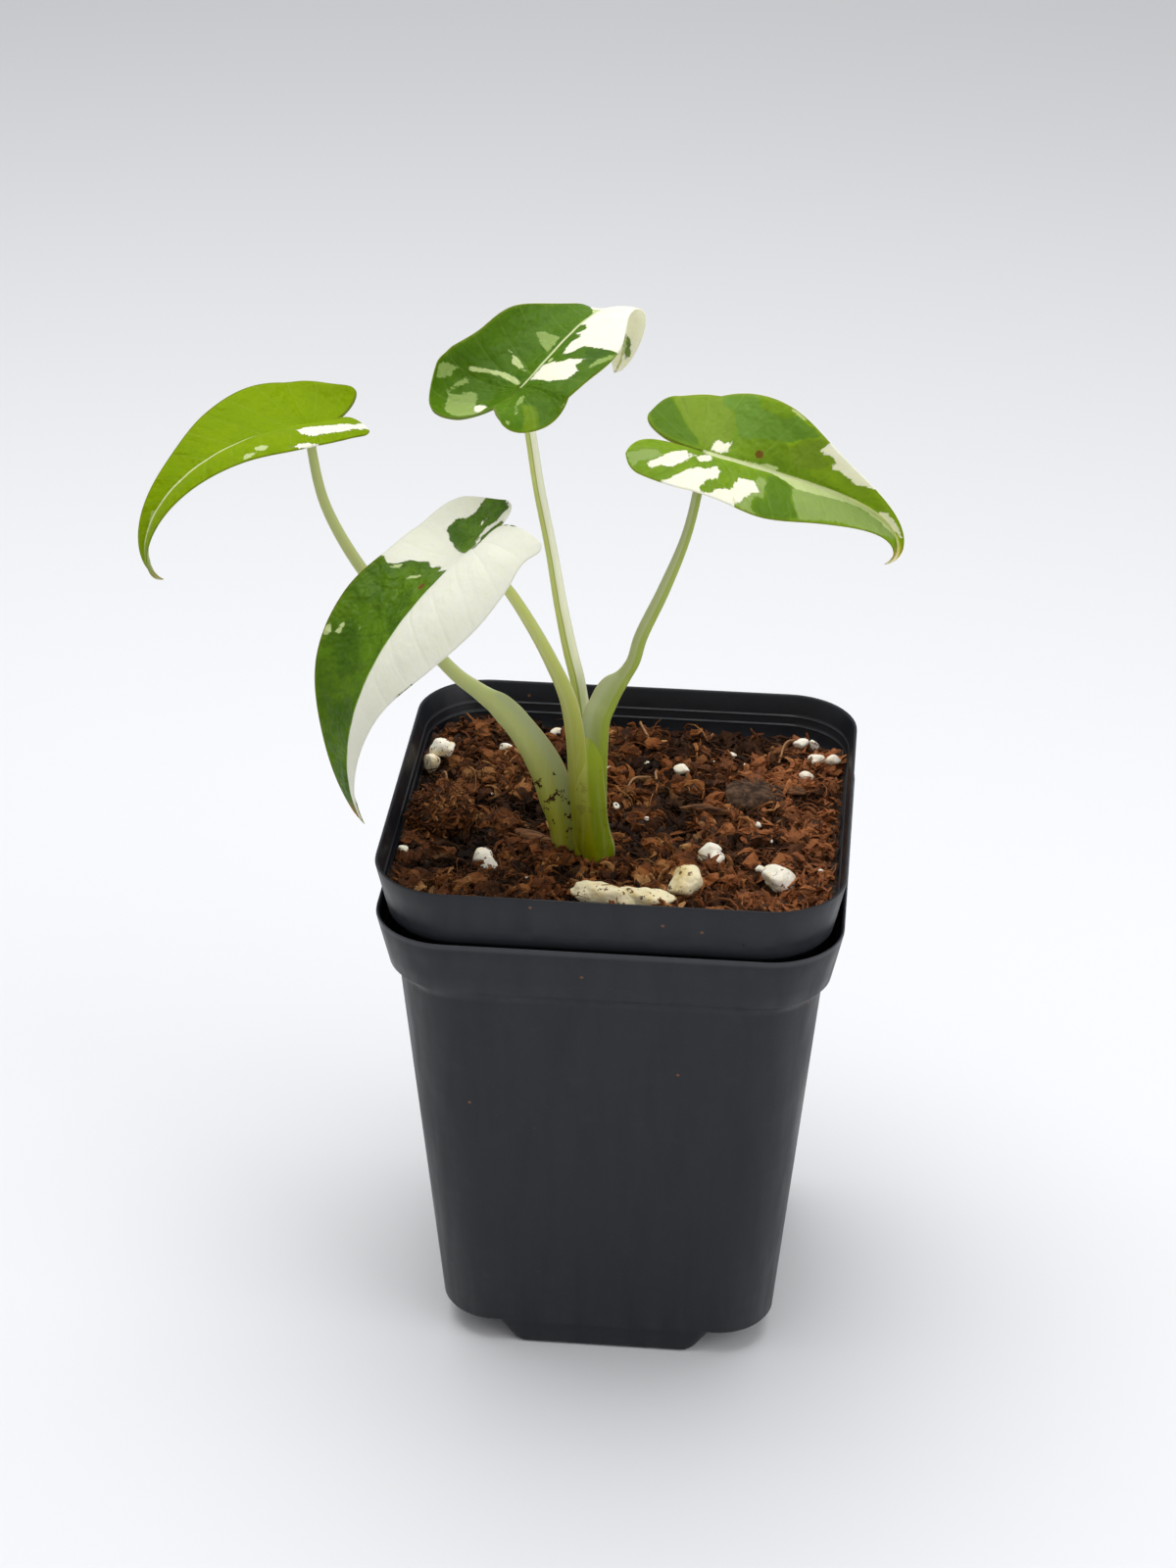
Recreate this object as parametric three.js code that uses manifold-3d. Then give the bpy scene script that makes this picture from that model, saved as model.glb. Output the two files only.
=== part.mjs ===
// A young variegated aroid in two nested square nursery pots, at its real size in
// millimetres. +Z is up, the origin is the centre of the outer pot's base, and the front
// faces -Y. Left and right of a blade are as seen when facing its tip from above.
import * as THREE from 'three';
import Module from 'manifold-3d';
import { LoftGeometry } from 'three/addons/geometries/LoftGeometry.js';
import { mergeVertices } from 'three/addons/utils/BufferGeometryUtils.js';

const wasm = await Module();
wasm.setup();

// The nursery pot, one mould used for both pots
const POT_HEIGHT = 100;
const RIM_HALF = 45; // half the width over the rim
const COLLAR_FOOT_HALF = 42.7;
const COLLAR_FOOT_Z = 88.5;
const BODY_TOP_HALF = 41;
const BODY_TOP_Z = 86;
const BODY_FOOT_HALF = 33.5;
const BODY_FOOT_Z = 5; // the corners of the foot are raised this far
const RIM_CORNER = 14.5; // corner radius at the rim
const FOOT_CORNER = 11;
const CORNER_STEPS = 6;
const POT_WALL = 0.65;
const POT_FLOOR = 1;
const NEST_RISE = 11; // how far the inner pot stands above the outer one

// The cross-shaped foot under the body
const ARM_HALF = 18; // half the length of each side's bottom edge
const ARM_SPLAY = 0.72; // how fast an arm widens with height
const ARM_OUT = 33;
const ARM_TAPER = 0.08;
const ARM_ROUND = 2.5;
const DRAIN_RADIUS = 3.5;
const DRAIN_OUT = 26; // from the middle to a drain hole, along X and along Y

// The potting mix
const CLEARANCE = 0.3; // left between pieces that touch
const MIX_TOP = 104.2;
const MIX_SLOPE = 0.03; // the mix is higher at the front
const MIX_CELL = 3.6;
const MIX_CELLS = 25;
const MIX_ROUGH = 0.9;
const CLUMPS = [
  { x: -37, y: -2, radius: 7, height: 2.4 },
  { x: -33, y: 30, radius: 6, height: 1.6 },
  { x: -15, y: -18, radius: 5, height: 1.0 },
  { x: 25, y: 13, radius: 6, height: 1.5 },
  { x: -21, y: -3, radius: 4, height: -1.8 },
  { x: 10, y: 4, radius: 4, height: -1.4 },
  { x: 23, y: -8, radius: 4, height: -1.2 },
];

// Stones that lie on the mix: middle, size along X, Y and Z, and turn about Z in degrees
const STONES = [
  { at: [3.7, -34, 106.6], size: [18.4, 6.4, 6.4], turn: -4, detail: 3 },
  { at: [14.4, -29, 107], size: [7.4, 7, 6.8], turn: 20, detail: 2 },
  { at: [31.8, -24.5, 106.6], size: [7, 6, 5.6], turn: -25, detail: 2 },
  { at: [-25, -22.5, 106], size: [5, 4.6, 4.2], turn: 10, detail: 1 },
  { at: [-39.4, 20, 105.4], size: [5.4, 6, 6.4], turn: 0, detail: 1 },
  { at: [18.1, -14, 105.6], size: [4.8, 4.2, 3.8], turn: 30, detail: 1 },
  { at: [10, 22, 104.4], size: [3.6, 3, 2.8], turn: 0, detail: 1 },
  { at: [34.5, 36.5, 104], size: [5.6, 2.8, 2.8], turn: -8, detail: 1 },
];

// Bark pieces on the mix, in the same terms
const BARK = [
  { at: [15.8, 3.8, 105.4], size: [8, 2.2, 1.8], turn: -3 },
  { at: [-16.6, -11, 105.6], size: [7, 3.4, 1.4], turn: -28 },
  { at: [33, 14.4, 105], size: [6, 3.4, 1.4], turn: -12 },
];

// The corm under the mix
const CORM_AT = [-6, -14.5];
const CORM_PROFILE = [[0, 80], [4, 80.6], [6.6, 83], [7.2, 86], [6.8, 89.5], [5.8, 91.5], [5.2, 92], [0, 92]];

// Leaves: angles in degrees, lengths in millimetres. The midrib starts at the junction
// with the petiole, and each half has its own width at eight stations from lobe to tip.
const BLADE = 0.62; // thickness
const BLADE_ROWS = 18;
const LOBE_ROWS = 6;
const BLADE_COLUMNS = 4;
const TIP_CROWDING = 1.35; // above 1 the rows are closer together towards the tip
const CURL_WIDTH = 20; // a half bends by its curl over this width
const LEAVES = {
  left: {
    junction: [-59, -8, 188.5],
    length: 51.5, heading: 216, sway: 7, pitch: 9, arch: 64, hook: 96, hookPower: 4.5,
    roll: 17, twist: -3, lobeBend: 38, sinusPower: 1.9,
    halves: [
      { side: 1, lobe: 7, fold: 27, foldTip: -11, curl: -105,
        widths: [13.5, 13.5, 13, 13.5, 13, 10.5, 7.5, 4] },
      { side: -1, lobe: 12.5, fold: 22, foldTip: -7, curl: 29,
        widths: [2.5, 9.5, 13, 14.5, 14.5, 11.5, 6.5, 3] },
    ],
    stem: [[-9, -14.8, 92.4, 1.3, 1.3], [-10.6, -14.9, 104, 2.4, 1.4], [-13.6, -14.3, 119, 3.2, 1.4],
      [-17.6, -13.7, 129.5, 3, 1.4], [-24, -13, 136.4, 1.9, 1.4], [-31.5, -12, 140.6, 1.4, 1.3],
      [-42.9, -10.9, 153.2, 1.2, 1.2], [-50.1, -10, 161.8, 1.2, 1.1], [-56.4, -8.9, 173.5, 1.1, 1.1],
      [-58.7, -8.2, 184, 1, 1]],
  },
  front: {
    junction: [-26, -30.5, 175.5],
    length: 62, heading: 224, sway: -16, pitch: -23, arch: 49, hook: 44, hookPower: 1.7,
    roll: 41, twist: -37, lobeBend: 10, sinusPower: 2.5,
    halves: [
      { side: 1, lobe: 7.5, fold: 13, foldTip: -15, curl: -136,
        widths: [15, 15.5, 15, 16.5, 16.5, 13.5, 8, 4] },
      { side: -1, lobe: 13, fold: 6, foldTip: 11, curl: 66,
        widths: [7.5, 14, 17.5, 18, 17, 16.5, 13.5, 6.5] },
    ],
    stem: [[-5.6, -16.4, 92.4, 1.3, 1.3], [-6.4, -16.4, 104, 2.1, 1.5], [-7.2, -17.6, 121.2, 2, 1.4],
      [-7.9, -19.7, 133.7, 1.8, 1.3], [-9.3, -21.3, 141.8, 1.6, 1.3], [-12.1, -23.2, 149.9, 1.4, 1.2],
      [-15.4, -25.2, 157.8, 1.3, 1.2], [-19.6, -27.5, 166.2, 1.1, 1.1], [-23.4, -29.6, 172, 1, 1]],
  },
  top: {
    junction: [-19, -12, 200],
    length: 49.5, heading: 52, sway: 23, pitch: 30, arch: 25, hook: 199, hookPower: 3.3,
    roll: -28, twist: 10, lobeBend: 68, sinusPower: 1.9,
    halves: [
      { side: 1, lobe: 12, fold: 8, foldTip: -11, foldLobe: -43, curl: 92, curlTip: 29, curlLobe: 68,
        widths: [14, 16.5, 19, 18, 15.5, 13.5, 7, 5] },
      { side: -1, lobe: 15, fold: 10, foldTip: -18, foldLobe: -18, curl: -75, curlTip: -7, curlLobe: -33,
        widths: [13, 13, 13, 14, 14, 13.5, 7.5, 4.5] },
    ],
    stem: [[-6.4, -11.9, 92.4, 1.2, 1.2], [-6, -11.2, 104, 1.5, 1.3], [-6.5, -11, 126.5, 1.5, 1.2],
      [-8.1, -11.2, 139.2, 1.5, 1.2], [-9.7, -11.5, 146.6, 1.4, 1.2], [-11.4, -12, 155.8, 1.3, 1.2],
      [-13.3, -12, 167.5, 1.2, 1.1], [-15.7, -12, 180.3, 1.1, 1.1], [-17.4, -12, 192, 1, 1]],
  },
  right: {
    junction: [14.8, -14, 189.8],
    length: 47, heading: -5, sway: 10, pitch: -12, arch: 10, hook: 137, hookPower: 6.5,
    roll: 10, twist: 44, lobeBend: 8, sinusPower: 3,
    halves: [
      { side: 1, lobe: 12, fold: 16, foldTip: 80, curl: 0,
        widths: [4.5, 9, 11, 13.5, 14, 12, 7, 3] },
      { side: -1, lobe: 13, fold: 14, foldTip: 11, curl: -53,
        widths: [9.5, 12, 12.5, 12.5, 12, 12, 8.5, 4.5] },
    ],
    stem: [[-2.6, -15, 92.4, 1.2, 1.2], [-2.2, -15.2, 104, 1.9, 1.4], [-3.3, -15.6, 118, 1.7, 1.4],
      [-2.6, -15.4, 134.4, 1.6, 1.3], [0.3, -15, 142.6, 1.5, 1.3], [3.9, -14.5, 151.6, 1.3, 1.2],
      [8, -14.3, 161.4, 1.2, 1.2], [12.1, -14.2, 173, 1.1, 1.1], [14.2, -14.1, 183.6, 1, 1]],
  },
};
const STEM_SIDES = 10;
const STEM_RINGS = 24;

// Finishes, close to the ones in the photograph
const FINISH = {
  pot: { color: 0x33363a, roughness: 0.45, metalness: 0 },
  mix: { color: 0x5a3520, roughness: 1, metalness: 0 },
  corm: { color: 0x8a6a45, roughness: 0.8, metalness: 0 },
  petiole: { color: 0xa3b556, roughness: 0.45, metalness: 0 },
  blade: { color: 0x6f9a3a, roughness: 0.4, metalness: 0 },
  stone: { color: 0xe8e2d2, roughness: 0.9, metalness: 0 },
  bark: { color: 0x6b4a2c, roughness: 0.9, metalness: 0 },
};

const radians = THREE.MathUtils.degToRad;

// A fixed pseudo-random number from 0 to 1 for a place on a grid
function scatter(i, j) {
  const wave = Math.sin(i * 12.9898 + j * 78.233) * 43758.5453;
  return wave - Math.floor(wave);
}

// A closed geometry as a solid that can be joined and cut
function solidOf(geometry) {
  const bare = new THREE.BufferGeometry();
  bare.setAttribute('position', geometry.attributes.position);
  bare.setIndex(geometry.index);
  const merged = mergeVertices(bare, 1e-4);
  const mesh = new wasm.Mesh({
    numProp: 3,
    vertProperties: new Float32Array(merged.attributes.position.array),
    triVerts: new Uint32Array(merged.index.array),
  });
  return new wasm.Manifold(mesh);
}

// A solid as a geometry again
function geometryOf(solid) {
  const mesh = solid.getMesh();
  const geometry = new THREE.BufferGeometry();
  geometry.setAttribute('position', new THREE.BufferAttribute(mesh.vertProperties, 3));
  geometry.setIndex(new THREE.BufferAttribute(mesh.triVerts, 1));
  geometry.computeVertexNormals();
  return geometry;
}

// A skin over a row of rings, closed at both ends
function loft(sections) {
  const skin = new LoftGeometry(sections, { capStart: true, capEnd: true });
  return new THREE.BufferGeometry().copy(skin);
}

// A square with round corners, drawn level at height z
function squareRing(half, corner, z) {
  const ring = [];
  for (let k = 0; k < 4; k++) {
    const signX = Math.sign(Math.cos((k + 0.5) * Math.PI / 2));
    const signY = Math.sign(Math.sin((k + 0.5) * Math.PI / 2));
    for (let i = 0; i <= CORNER_STEPS; i++) {
      const angle = (k + i / CORNER_STEPS) * Math.PI / 2;
      ring.push(new THREE.Vector3(
        signX * (half - corner) + corner * Math.cos(angle),
        signY * (half - corner) + corner * Math.sin(angle),
        z,
      ));
    }
  }
  return ring;
}

// A cross with its outer and inner corners cut, drawn level at height z
function crossRing(arm, out, z) {
  const cut = ARM_ROUND;
  const corner = [
    [out - cut, -arm], [out - 0.3 * cut, -arm + 0.3 * cut], [out, -arm + cut],
    [out, arm - cut], [out - 0.3 * cut, arm - 0.3 * cut], [out - cut, arm],
    [arm + cut, arm], [arm + 0.3 * cut, arm + 0.3 * cut], [arm, arm + cut],
  ];
  const ring = [];
  for (let k = 0; k < 4; k++) {
    const turn = k * Math.PI / 2;
    for (const [x, y] of corner) {
      ring.push(new THREE.Vector3(
        x * Math.cos(turn) - y * Math.sin(turn),
        x * Math.sin(turn) + y * Math.cos(turn),
        z,
      ));
    }
  }
  return ring;
}

// The pot's outer form, drawn in by an inset: 0 for the outside, the wall for its hollow
function potForm(inset, lowest, highest) {
  const bodySlope = (BODY_TOP_HALF - BODY_FOOT_HALF) / (BODY_TOP_Z - BODY_FOOT_Z);
  const collarSlope = (RIM_HALF - COLLAR_FOOT_HALF) / (POT_HEIGHT - COLLAR_FOOT_Z);
  const cornerSlope = (RIM_CORNER - FOOT_CORNER) / POT_HEIGHT;
  const ring = (half, z) => squareRing(half - inset, FOOT_CORNER + cornerSlope * z - inset, z);
  const bodyFoot = BODY_FOOT_Z + lowest;
  const body = loft([
    ring(BODY_FOOT_HALF + bodySlope * lowest, bodyFoot),
    ring(BODY_TOP_HALF, BODY_TOP_Z + inset / 2),
    ring(COLLAR_FOOT_HALF, COLLAR_FOOT_Z + inset / 2),
    ring(RIM_HALF + collarSlope * (highest - POT_HEIGHT), highest),
  ]);
  const cross = (z) => crossRing(ARM_HALF + ARM_SPLAY * z - inset, ARM_OUT + ARM_TAPER * z - inset, z);
  const foot = loft([cross(lowest), cross(bodyFoot), cross(bodyFoot + POT_FLOOR)]);
  return solidOf(body).add(solidOf(foot));
}

function potSolid() {
  let pot = potForm(0, 0, POT_HEIGHT).subtract(potForm(POT_WALL, POT_FLOOR, POT_HEIGHT + 1));
  for (const x of [-DRAIN_OUT, DRAIN_OUT]) {
    for (const y of [-DRAIN_OUT, DRAIN_OUT]) {
      const drill = new THREE.CylinderGeometry(DRAIN_RADIUS, DRAIN_RADIUS, 4 * POT_FLOOR, 20);
      drill.rotateX(Math.PI / 2);
      drill.translate(x, y, BODY_FOOT_Z + POT_FLOOR / 2);
      pot = pot.subtract(solidOf(drill));
    }
  }
  return pot;
}

// Height of the mix, with clumps and hollows and a crumbly surface
function mixHeight(x, y) {
  let z = MIX_TOP - MIX_SLOPE * y;
  for (const clump of CLUMPS) {
    const away = Math.hypot(x - clump.x, y - clump.y) / clump.radius;
    z += clump.height * Math.exp(-away * away);
  }
  return z + MIX_ROUGH * (2 * scatter(Math.round(x / MIX_CELL), Math.round(y / MIX_CELL)) - 1);
}

// The mix before anything is set in it: the inner pot's hollow, filled to the mix height
function mixFilling() {
  const inset = POT_WALL + CLEARANCE;
  const filling = potForm(inset, POT_FLOOR + CLEARANCE, POT_HEIGHT).translate([0, 0, NEST_RISE]);
  const side = MIX_CELL * MIX_CELLS;
  const block = new THREE.BoxGeometry(side, side, MIX_TOP, MIX_CELLS, MIX_CELLS, 1);
  block.translate(0, 0, MIX_TOP / 2);
  const place = block.attributes.position;
  for (let i = 0; i < place.count; i++) {
    if (place.getZ(i) > MIX_TOP / 2) {
      place.setZ(i, mixHeight(place.getX(i), place.getY(i)));
    }
  }
  return filling.intersect(solidOf(block));
}

// A rounded, knobbly stone, larger all round by the margin
function stoneGeometry(stone, seed, margin) {
  const geometry = new THREE.IcosahedronGeometry(1, stone.detail);
  const place = geometry.attributes.position;
  const point = new THREE.Vector3();
  const half = stone.size.map((size) => size / 2 + margin);
  for (let i = 0; i < place.count; i++) {
    point.fromBufferAttribute(place, i);
    const knob = 1 + 0.07 * Math.sin(4 * point.x + seed) + 0.06 * Math.sin(5 * point.y + 2 * seed)
      + 0.05 * Math.sin(6 * point.z + 3 * seed);
    point.multiplyScalar(knob).multiply(new THREE.Vector3(...half));
    place.setXYZ(i, point.x, point.y, point.z);
  }
  geometry.rotateZ(radians(stone.turn));
  geometry.translate(...stone.at);
  return geometry;
}

// A flat splinter with uneven faces, larger all round by the margin
function barkGeometry(bark, seed, margin) {
  const [length, width, height] = bark.size.map((size) => size + 2 * margin);
  const geometry = new THREE.BoxGeometry(length, width, height, 3, 2, 1);
  const place = geometry.attributes.position;
  for (let i = 0; i < place.count; i++) {
    const u = 2 * place.getX(i) / length;
    const v = 2 * place.getY(i) / width;
    const narrow = 1 - 0.35 * u * u;
    place.setY(i, place.getY(i) * narrow);
    place.setZ(i, place.getZ(i) * (1 - 0.25 * v * v) + 0.15 * Math.sin(2 * u + seed));
  }
  geometry.rotateZ(radians(bark.turn));
  geometry.translate(...bark.at);
  return geometry;
}

function cormGeometry(margin) {
  const profile = CORM_PROFILE.map(([r, z]) => new THREE.Vector2(
    r > 0 ? r + margin : 0,
    z + (z > 86 ? margin : -margin),
  ));
  const geometry = new THREE.LatheGeometry(profile, 16);
  geometry.rotateX(Math.PI / 2);
  geometry.translate(CORM_AT[0], CORM_AT[1], 0);
  return geometry;
}

// Catmull-Rom curve through evenly spaced values, u from 0 to 1
function throughValues(values, u) {
  const last = values.length - 1;
  const x = Math.min(Math.max(u, 0), 1) * last;
  const i = Math.min(Math.floor(x), last - 1);
  const t = x - i;
  const before = i > 0 ? values[i - 1] : 2 * values[0] - values[1];
  const after = i + 2 <= last ? values[i + 2] : 2 * values[last] - values[last - 1];
  const [b, c] = [values[i], values[i + 1]];
  return 0.5 * (2 * b + (c - before) * t + (2 * before - 5 * b + 4 * c - after) * t * t
    + (3 * b - before - 3 * c + after) * t * t * t);
}

// Direction along the blade, across it and out of its face at s along the midrib
function bladeAxes(leaf, s) {
  const t = Math.max(s, 0) / leaf.length;
  const meanLobe = (leaf.halves[0].lobe + leaf.halves[1].lobe) / 2;
  const back = Math.max(-s, 0) / meanLobe;
  const pitch = radians(leaf.pitch - leaf.arch * t - leaf.hook * t ** leaf.hookPower - leaf.lobeBend * back);
  const heading = radians(leaf.heading + leaf.sway * t);
  const roll = radians(leaf.roll + leaf.twist * t);
  const along = new THREE.Vector3(
    Math.cos(pitch) * Math.cos(heading),
    Math.cos(pitch) * Math.sin(heading),
    Math.sin(pitch),
  );
  const level = new THREE.Vector3(-Math.sin(heading), Math.cos(heading), 0);
  const upward = along.clone().cross(level);
  const across = level.clone().multiplyScalar(Math.cos(roll)).addScaledVector(upward, Math.sin(roll));
  const face = upward.clone().multiplyScalar(Math.cos(roll)).addScaledVector(level, -Math.sin(roll));
  return { along, across, face };
}

// The midrib's line carried on to s, which is below 0 in the lobes
function midribPoint(leaf, s) {
  const steps = 60;
  const point = new THREE.Vector3(...leaf.junction);
  for (let k = 0; k < steps; k++) {
    point.addScaledVector(bladeAxes(leaf, s * (k + 0.5) / steps).along, s / steps);
  }
  return point;
}

// A point of the blade, x out from the midrib's line in one half, and the direction its
// upper face looks in there
function bladePoint(leaf, half, s, x) {
  const { across, face } = bladeAxes(leaf, s);
  const t = Math.max(s, 0) / leaf.length;
  const back = Math.max(-s, 0) / half.lobe;
  const fold = radians(half.fold + half.foldTip * t + (half.foldLobe ?? 0) * back);
  const curl = radians(half.curl + (half.curlTip ?? 0) * t + (half.curlLobe ?? 0) * back) / CURL_WIDTH;
  const bend = Math.abs(curl) < 1e-5 ? 1e-5 : curl;
  const slope = fold + bend * x;
  const out = (Math.sin(slope) - Math.sin(fold)) / bend;
  const lift = (Math.cos(fold) - Math.cos(slope)) / bend;
  const point = midribPoint(leaf, s);
  point.addScaledVector(across, half.side * out).addScaledVector(face, lift);
  const normal = face.clone().multiplyScalar(Math.cos(slope));
  normal.addScaledVector(across, -half.side * Math.sin(slope));
  return { point, normal };
}

// How far a half reaches from the midrib's line at s
function marginWidth(leaf, half, s) {
  const run = leaf.length + half.lobe;
  const station = Math.acos(Math.min(Math.max(1 - (s + half.lobe) / run, -1), 1)) * 2 / Math.PI;
  return Math.max(throughValues([...half.widths, 0], station), 0);
}

// Width of the open sinus beside the midrib's line, back in the lobes
function sinusWidth(leaf, half, s) {
  const back = Math.min(Math.max(-s, 0) / half.lobe, 1);
  return half.widths[0] * (1 - Math.sqrt(1 - back ** leaf.sinusPower));
}

// The rows of one half of a blade, from the end of its lobe to the tip. Each row is a
// list of places [s, x] from the sinus or the midrib out to the margin.
function halfRows(leaf, half) {
  const spread = (s, inner, outer) => Array.from({ length: BLADE_COLUMNS + 1 }, (_, j) => (
    [s, inner + (outer - inner) * j / BLADE_COLUMNS]));
  const rows = [];
  for (let k = LOBE_ROWS; k > 0; k--) {
    const s = -half.lobe * Math.sin(k / LOBE_ROWS * Math.PI / 2);
    const inner = sinusWidth(leaf, half, s);
    rows.push(spread(s, inner, k === LOBE_ROWS ? inner : marginWidth(leaf, half, s)));
  }
  for (let i = 0; i <= BLADE_ROWS; i++) {
    const s = leaf.length * (1 - (1 - i / BLADE_ROWS) ** TIP_CROWDING);
    rows.push(spread(s, 0, i === BLADE_ROWS ? 0 : marginWidth(leaf, half, s)));
  }
  return rows;
}

// Upper face of a blade as points, the directions it looks in, and triangles. Places of
// the same s and x, such as the midrib that both halves share, are one point.
function bladeFace(leaf) {
  const points = [];
  const normals = [];
  const triangles = [];
  for (const half of leaf.halves) {
    const known = new Map();
    const rows = halfRows(leaf, half).map((row) => row.map(([s, x]) => {
      const key = `${s} ${x}`;
      if (!known.has(key)) {
        const { point, normal } = bladePoint(leaf, half, s, x);
        const shared = x === 0 ? points.findIndex((other) => other.distanceTo(point) < 1e-6) : -1;
        if (shared < 0) {
          points.push(point);
          normals.push(normal);
        } else {
          normals[shared].add(normal);
        }
        known.set(key, shared < 0 ? points.length - 1 : shared);
      }
      return known.get(key);
    }));
    const put = (a, b, c) => {
      if (a !== b && b !== c && c !== a) {
        triangles.push(half.side > 0 ? [a, b, c] : [a, c, b]);
      }
    };
    for (let i = 0; i + 1 < rows.length; i++) {
      for (let j = 0; j < BLADE_COLUMNS; j++) {
        put(rows[i][j], rows[i + 1][j], rows[i + 1][j + 1]);
        put(rows[i][j], rows[i + 1][j + 1], rows[i][j + 1]);
      }
    }
  }
  normals.forEach((normal) => normal.normalize());
  return { points, normals, triangles };
}

// The whole blade: the upper face, the same face moved down through the thickness, and
// a wall along the margin, which is each edge that only one triangle uses
function bladeGeometry(leaf) {
  const { points, normals, triangles } = bladeFace(leaf);
  const lower = points.map((point, i) => point.clone().addScaledVector(normals[i], -BLADE));
  const n = points.length;
  const index = triangles.flat();
  const uses = new Set();
  for (const [a, b, c] of triangles) {
    index.push(n + a, n + c, n + b);
    uses.add(`${a} ${b}`).add(`${b} ${c}`).add(`${c} ${a}`);
  }
  for (const use of uses) {
    const [a, b] = use.split(' ').map(Number);
    if (!uses.has(`${b} ${a}`)) {
      index.push(a, n + b, b);
      index.push(a, n + a, n + b);
    }
  }
  const blade = new THREE.BufferGeometry().setFromPoints([...points, ...lower]);
  blade.setIndex(index);
  blade.computeVertexNormals();
  return blade;
}

// A petiole from the corm to just under its blade, where its end is cut parallel to the
// blade. The stem's rows give its middle, its half width and its half depth.
function stemGeometry(leaf, margin) {
  const { face } = bladeAxes(leaf, 0);
  const end = new THREE.Vector3(...leaf.junction).addScaledVector(face, -(BLADE + CLEARANCE + 0.1));
  const last = leaf.stem.at(-1);
  const rows = [...leaf.stem, [end.x, end.y, end.z, last[3], last[4]]];
  rows[0] = [rows[0][0], rows[0][1], rows[0][2] - margin, rows[0][3], rows[0][4]];
  const path = new THREE.CatmullRomCurve3(rows.map(([x, y, z]) => new THREE.Vector3(x, y, z)));
  const girth = new THREE.CatmullRomCurve3(rows.map((row) => new THREE.Vector3(row[3], row[4], 0)));
  const depthAxis = new THREE.Vector3(0, 1, 0);
  const sections = [];
  for (let i = 0; i <= STEM_RINGS; i++) {
    const u = i / STEM_RINGS;
    const middle = path.getPoint(u);
    const size = girth.getPoint(u);
    const along = i === STEM_RINGS ? face : path.getTangent(u);
    const wide = depthAxis.clone().cross(along).normalize();
    const deep = along.clone().cross(wide).normalize();
    const ring = [];
    for (let k = 0; k < STEM_SIDES; k++) {
      const angle = k / STEM_SIDES * 2 * Math.PI;
      ring.push(middle.clone()
        .addScaledVector(wide, (size.x + margin) * Math.cos(angle))
        .addScaledVector(deep, (size.y + margin) * Math.sin(angle)));
    }
    sections.push(ring);
  }
  return loft(sections);
}

// The filling with a bed for each stone and bark piece, a hole for each petiole, and
// room for the corm, which the holes run down to
function mixSolid() {
  let mix = mixFilling();
  const bed = CLEARANCE + 0.1;
  STONES.forEach((stone, i) => {
    mix = mix.subtract(solidOf(stoneGeometry(stone, i, bed)));
  });
  BARK.forEach((bark, i) => {
    mix = mix.subtract(solidOf(barkGeometry(bark, i, bed)));
  });
  for (const leaf of Object.values(LEAVES)) {
    mix = mix.subtract(solidOf(stemGeometry(leaf, bed)));
  }
  return mix.subtract(solidOf(cormGeometry(CLEARANCE)));
}

const plant = new THREE.Group();

function place(name, geometry, finish) {
  const mesh = new THREE.Mesh(geometry, new THREE.MeshStandardMaterial(finish));
  mesh.name = name;
  plant.add(mesh);
  return mesh;
}

place('outer_pot', geometryOf(potSolid()), FINISH.pot);
place('inner_pot', geometryOf(potSolid()), FINISH.pot).position.z = NEST_RISE;
place('potting_mix', geometryOf(mixSolid()), FINISH.mix);
place('corm', cormGeometry(0), FINISH.corm);
for (const [side, leaf] of Object.entries(LEAVES)) {
  place(`petiole_${side}`, stemGeometry(leaf, 0), FINISH.petiole);
  place(`blade_${side}`, bladeGeometry(leaf), FINISH.blade);
}
STONES.forEach((stone, i) => place(`stone_${i + 1}`, stoneGeometry(stone, i, 0), FINISH.stone));
BARK.forEach((bark, i) => place(`bark_${i + 1}`, barkGeometry(bark, i, 0), FINISH.bark));

export default plant;
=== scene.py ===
# %% [markdown]
# # A young variegated alocasia in two nested nursery pots
# This lesson dresses a plain model of a house plant: square black plastic pots, a coarse coir
# mix with pumice, and four painted-looking leaves on sheathed stalks. The plain model is the
# frame. It is loaded first, so that every measurement below can be compared with it.

# %% Load the frame
import bmesh
import bpy
import math
import numpy as np
from mathutils import Matrix, Vector, noise


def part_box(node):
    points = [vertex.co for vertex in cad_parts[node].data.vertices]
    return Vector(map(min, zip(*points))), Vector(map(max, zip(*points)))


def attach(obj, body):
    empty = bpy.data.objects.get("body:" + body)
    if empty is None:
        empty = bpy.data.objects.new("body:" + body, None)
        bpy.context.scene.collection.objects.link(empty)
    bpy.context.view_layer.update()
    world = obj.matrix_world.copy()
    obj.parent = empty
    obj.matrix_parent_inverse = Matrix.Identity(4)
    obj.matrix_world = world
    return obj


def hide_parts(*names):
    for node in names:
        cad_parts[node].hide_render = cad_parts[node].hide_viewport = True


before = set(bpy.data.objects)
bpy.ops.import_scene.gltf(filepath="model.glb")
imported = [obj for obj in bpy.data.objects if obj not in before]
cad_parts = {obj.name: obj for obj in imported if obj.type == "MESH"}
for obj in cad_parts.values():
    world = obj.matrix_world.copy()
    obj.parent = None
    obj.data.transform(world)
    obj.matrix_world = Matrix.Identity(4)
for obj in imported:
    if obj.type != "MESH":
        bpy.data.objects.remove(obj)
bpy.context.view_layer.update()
root = "root"
print("nodes in the frame:", len(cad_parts))

# %% [markdown]
# Millimetres suit a plant of this size, so the numbers below are in millimetres and one helper
# turns finished points into a mesh in metres. It could also be done with Blender's unit
# settings, but the frame is in metres, and one factor in one place is easy to check. Numbers
# that belong to a point, such as its distance to a vein, are kept on the mesh as attributes.

# %% Points and faces to a mesh
MM = 0.001


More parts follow.
